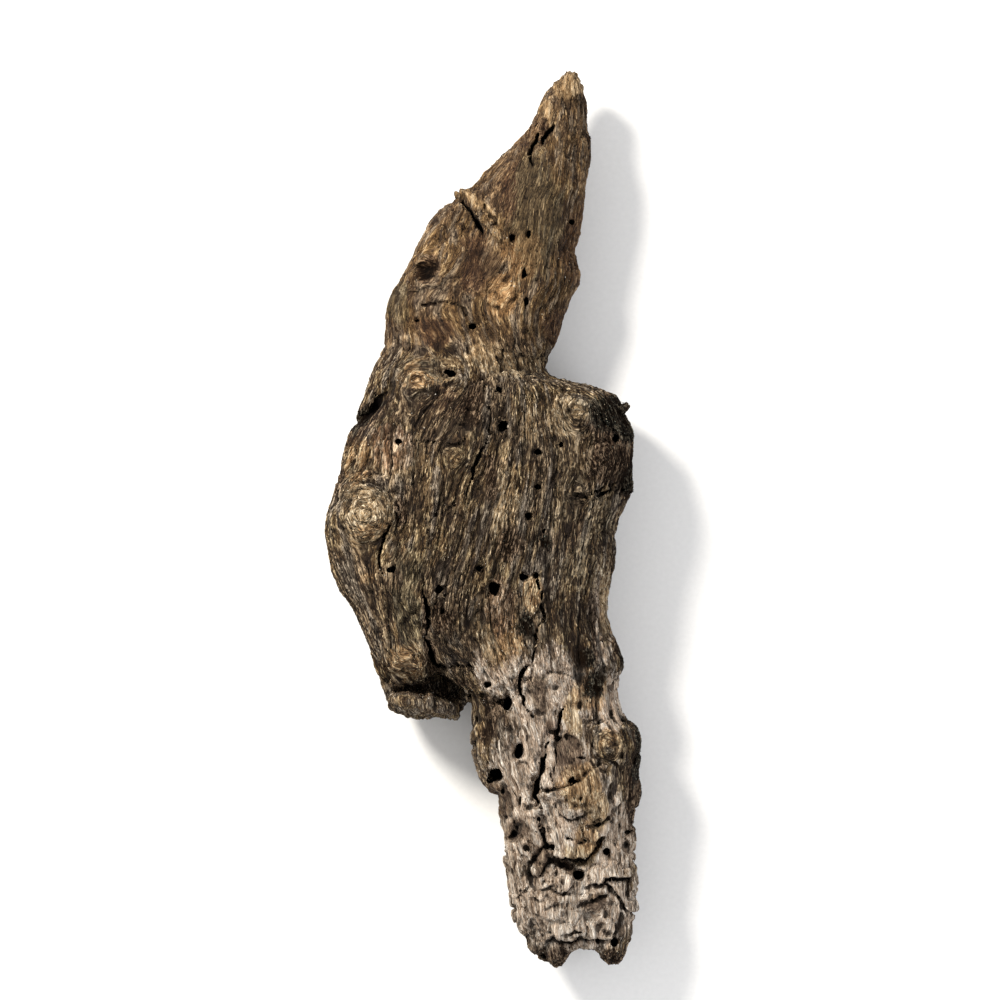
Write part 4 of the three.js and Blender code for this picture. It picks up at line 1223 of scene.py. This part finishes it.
    height = summed(0.0, (spread(thick_depth, 0.0, 0.32), 0.0, 0.55),
                    (spread(thin_depth, 0.0, 0.3), 0.0, 0.3), (streak, 0.5, 0.5),
                    (hair, 0.5, 0.35), (speck, 0.5, 0.25), (pit, 0.0, -0.9),
                    (maths("MULTIPLY", laced, cell), 0.0, -0.9))
    bump = add(tree, "ShaderNodeBump", {"Height": height, "Strength": 1.0, "Distance": 0.5 * MM})
    rough = add(tree, "ShaderNodeMapRange", {"Value": thin_own, "To Min": 0.82, "To Max": 0.97}).outputs[0]
    tree.links.new(colour, shader.inputs["Base Color"])
    tree.links.new(rough, shader.inputs["Roughness"])
    tree.links.new(bump.outputs[0], shader.inputs["Normal"])
    porous = maths("MAXIMUM", state("moss"), maths("MULTIPLY", state("char"), 0.7))
    gloss = maths("SUBTRACT", 0.2, maths("MULTIPLY", porous, 0.17), clamp=True)
    tree.links.new(gloss, shader.inputs["Specular IOR Level"])
    return material


# Dried moss and tar: near-black crumbs with a cold green tinge and a few grey flecks, matt.
def dried_moss():
    material, tree, shader = new_material("dried_moss", 0.9, 0.08)
    place = add(tree, "ShaderNodeTexCoord").outputs["Object"]
    flecks = add(tree, "ShaderNodeTexNoise", {"Vector": place, "Scale": 1 / (0.7 * MM), "Detail": 3.0})
    tint = add(tree, "ShaderNodeValToRGB", {"Fac": flecks.outputs["Fac"]},
               stops=[(0.35, "040404"), (0.5, "0d0f0d"), (0.6, "22251f"), (0.7, "8a8a7c")])
    tree.links.new(tint.outputs[0], shader.inputs["Base Color"])
    return material


# Grit: sand and dust caught between the fibres, from pale quartz to brown, dull.
def caught_grit():
    material, tree, shader = new_material("caught_grit", 0.7, 0.5)
    own = add(tree, "ShaderNodeAttribute", attribute_name="own_tone").outputs["Fac"]
    place = add(tree, "ShaderNodeTexCoord").outputs["Object"]
    grain = add(tree, "ShaderNodeTexNoise", {"Vector": place, "Scale": 1 / (0.3 * MM), "Detail": 2.0})
    shade = add(tree, "ShaderNodeMath", {0: own, 1: grain.outputs["Fac"]}, operation="MULTIPLY")
    tint = add(tree, "ShaderNodeValToRGB", {"Fac": shade},
               stops=[(0.0, "4a3b2a"), (0.25, "8a775d"), (0.4, "c4b79f"), (0.55, "ece6da")])
    tree.links.new(tint.outputs[0], shader.inputs["Base Color"])
    return material


def in_metres(lengths):
    return [c * MM for c in lengths]


bpy.context.scene.view_settings.view_transform = "Standard"
make_camera()
make_world(0.72, "ffffff")
make_lamp("window_upper_left", (-420, 430, 620), 230, 10.5, "fffaf2")
make_lamp("fill_right", (500, -200, 500), 500, 1.5, "f2f6ff")
make_floor()

wood_block, smooth_block, block_start = carve_wood(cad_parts["driftwood"])
opened_block = blurred(wood_block, 1.2)
states = (smooth_block, opened_block, block_start)
wood = make_wood(wood_block, block_start)
store_states(wood, *states)
weathered = weathered_wood()
wood.data.materials.append(weathered)
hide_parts("driftwood")

splinter, crumb = splinter_pattern(), crumb_pattern()
thin = 1.0

# Name, pattern, where it grows, material, count in a square metre, least and most size in mm, and seed
SPREADS = [
    ("splinters_of_the_trunk", splinter, "splintered", weathered,
     1.5e6, (0.15, 1.2, 0.1), (0.4, 4.6, 0.34), 3),
    ("fine_fibres_of_the_trunk", splinter, "hairy", weathered,
     1.25e6, (0.1, 0.8, 0.14), (0.24, 2.8, 0.36), 7),
    ("fibres_of_blade_and_stem", splinter, "fibrous", weathered,
     0.5e6, (0.18, 0.9, 0.06), (0.44, 3.4, 0.22), 4),
    ("crumbs_of_moss", crumb, "mossy", dried_moss(),
     2.2e6, (0.16, 0.2, 0.08), (0.44, 0.52, 0.22), 5),
    ("grains_of_grit", crumb, "gritty", caught_grit(),
     0.3e6, (0.12, 0.14, 0.1), (0.34, 0.4, 0.26), 6),
]
growths = []
for name, pattern, ground, material, count, least, most, seed in SPREADS:
    growths.append(scattered(
        name,
        scatter_tree(name + "_nodes", wood, pattern, ground, material),
        count_in_a_square_metre=count * thin,
        least_size=in_metres(least),
        most_size=in_metres(most),
        seed=seed,
    ))
    if material == weathered:
        store_states(growths[-1], *states)
for pattern in (splinter, crumb):
    bpy.data.objects.remove(pattern)
for piece in (wood, *growths):
    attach(piece, "root")
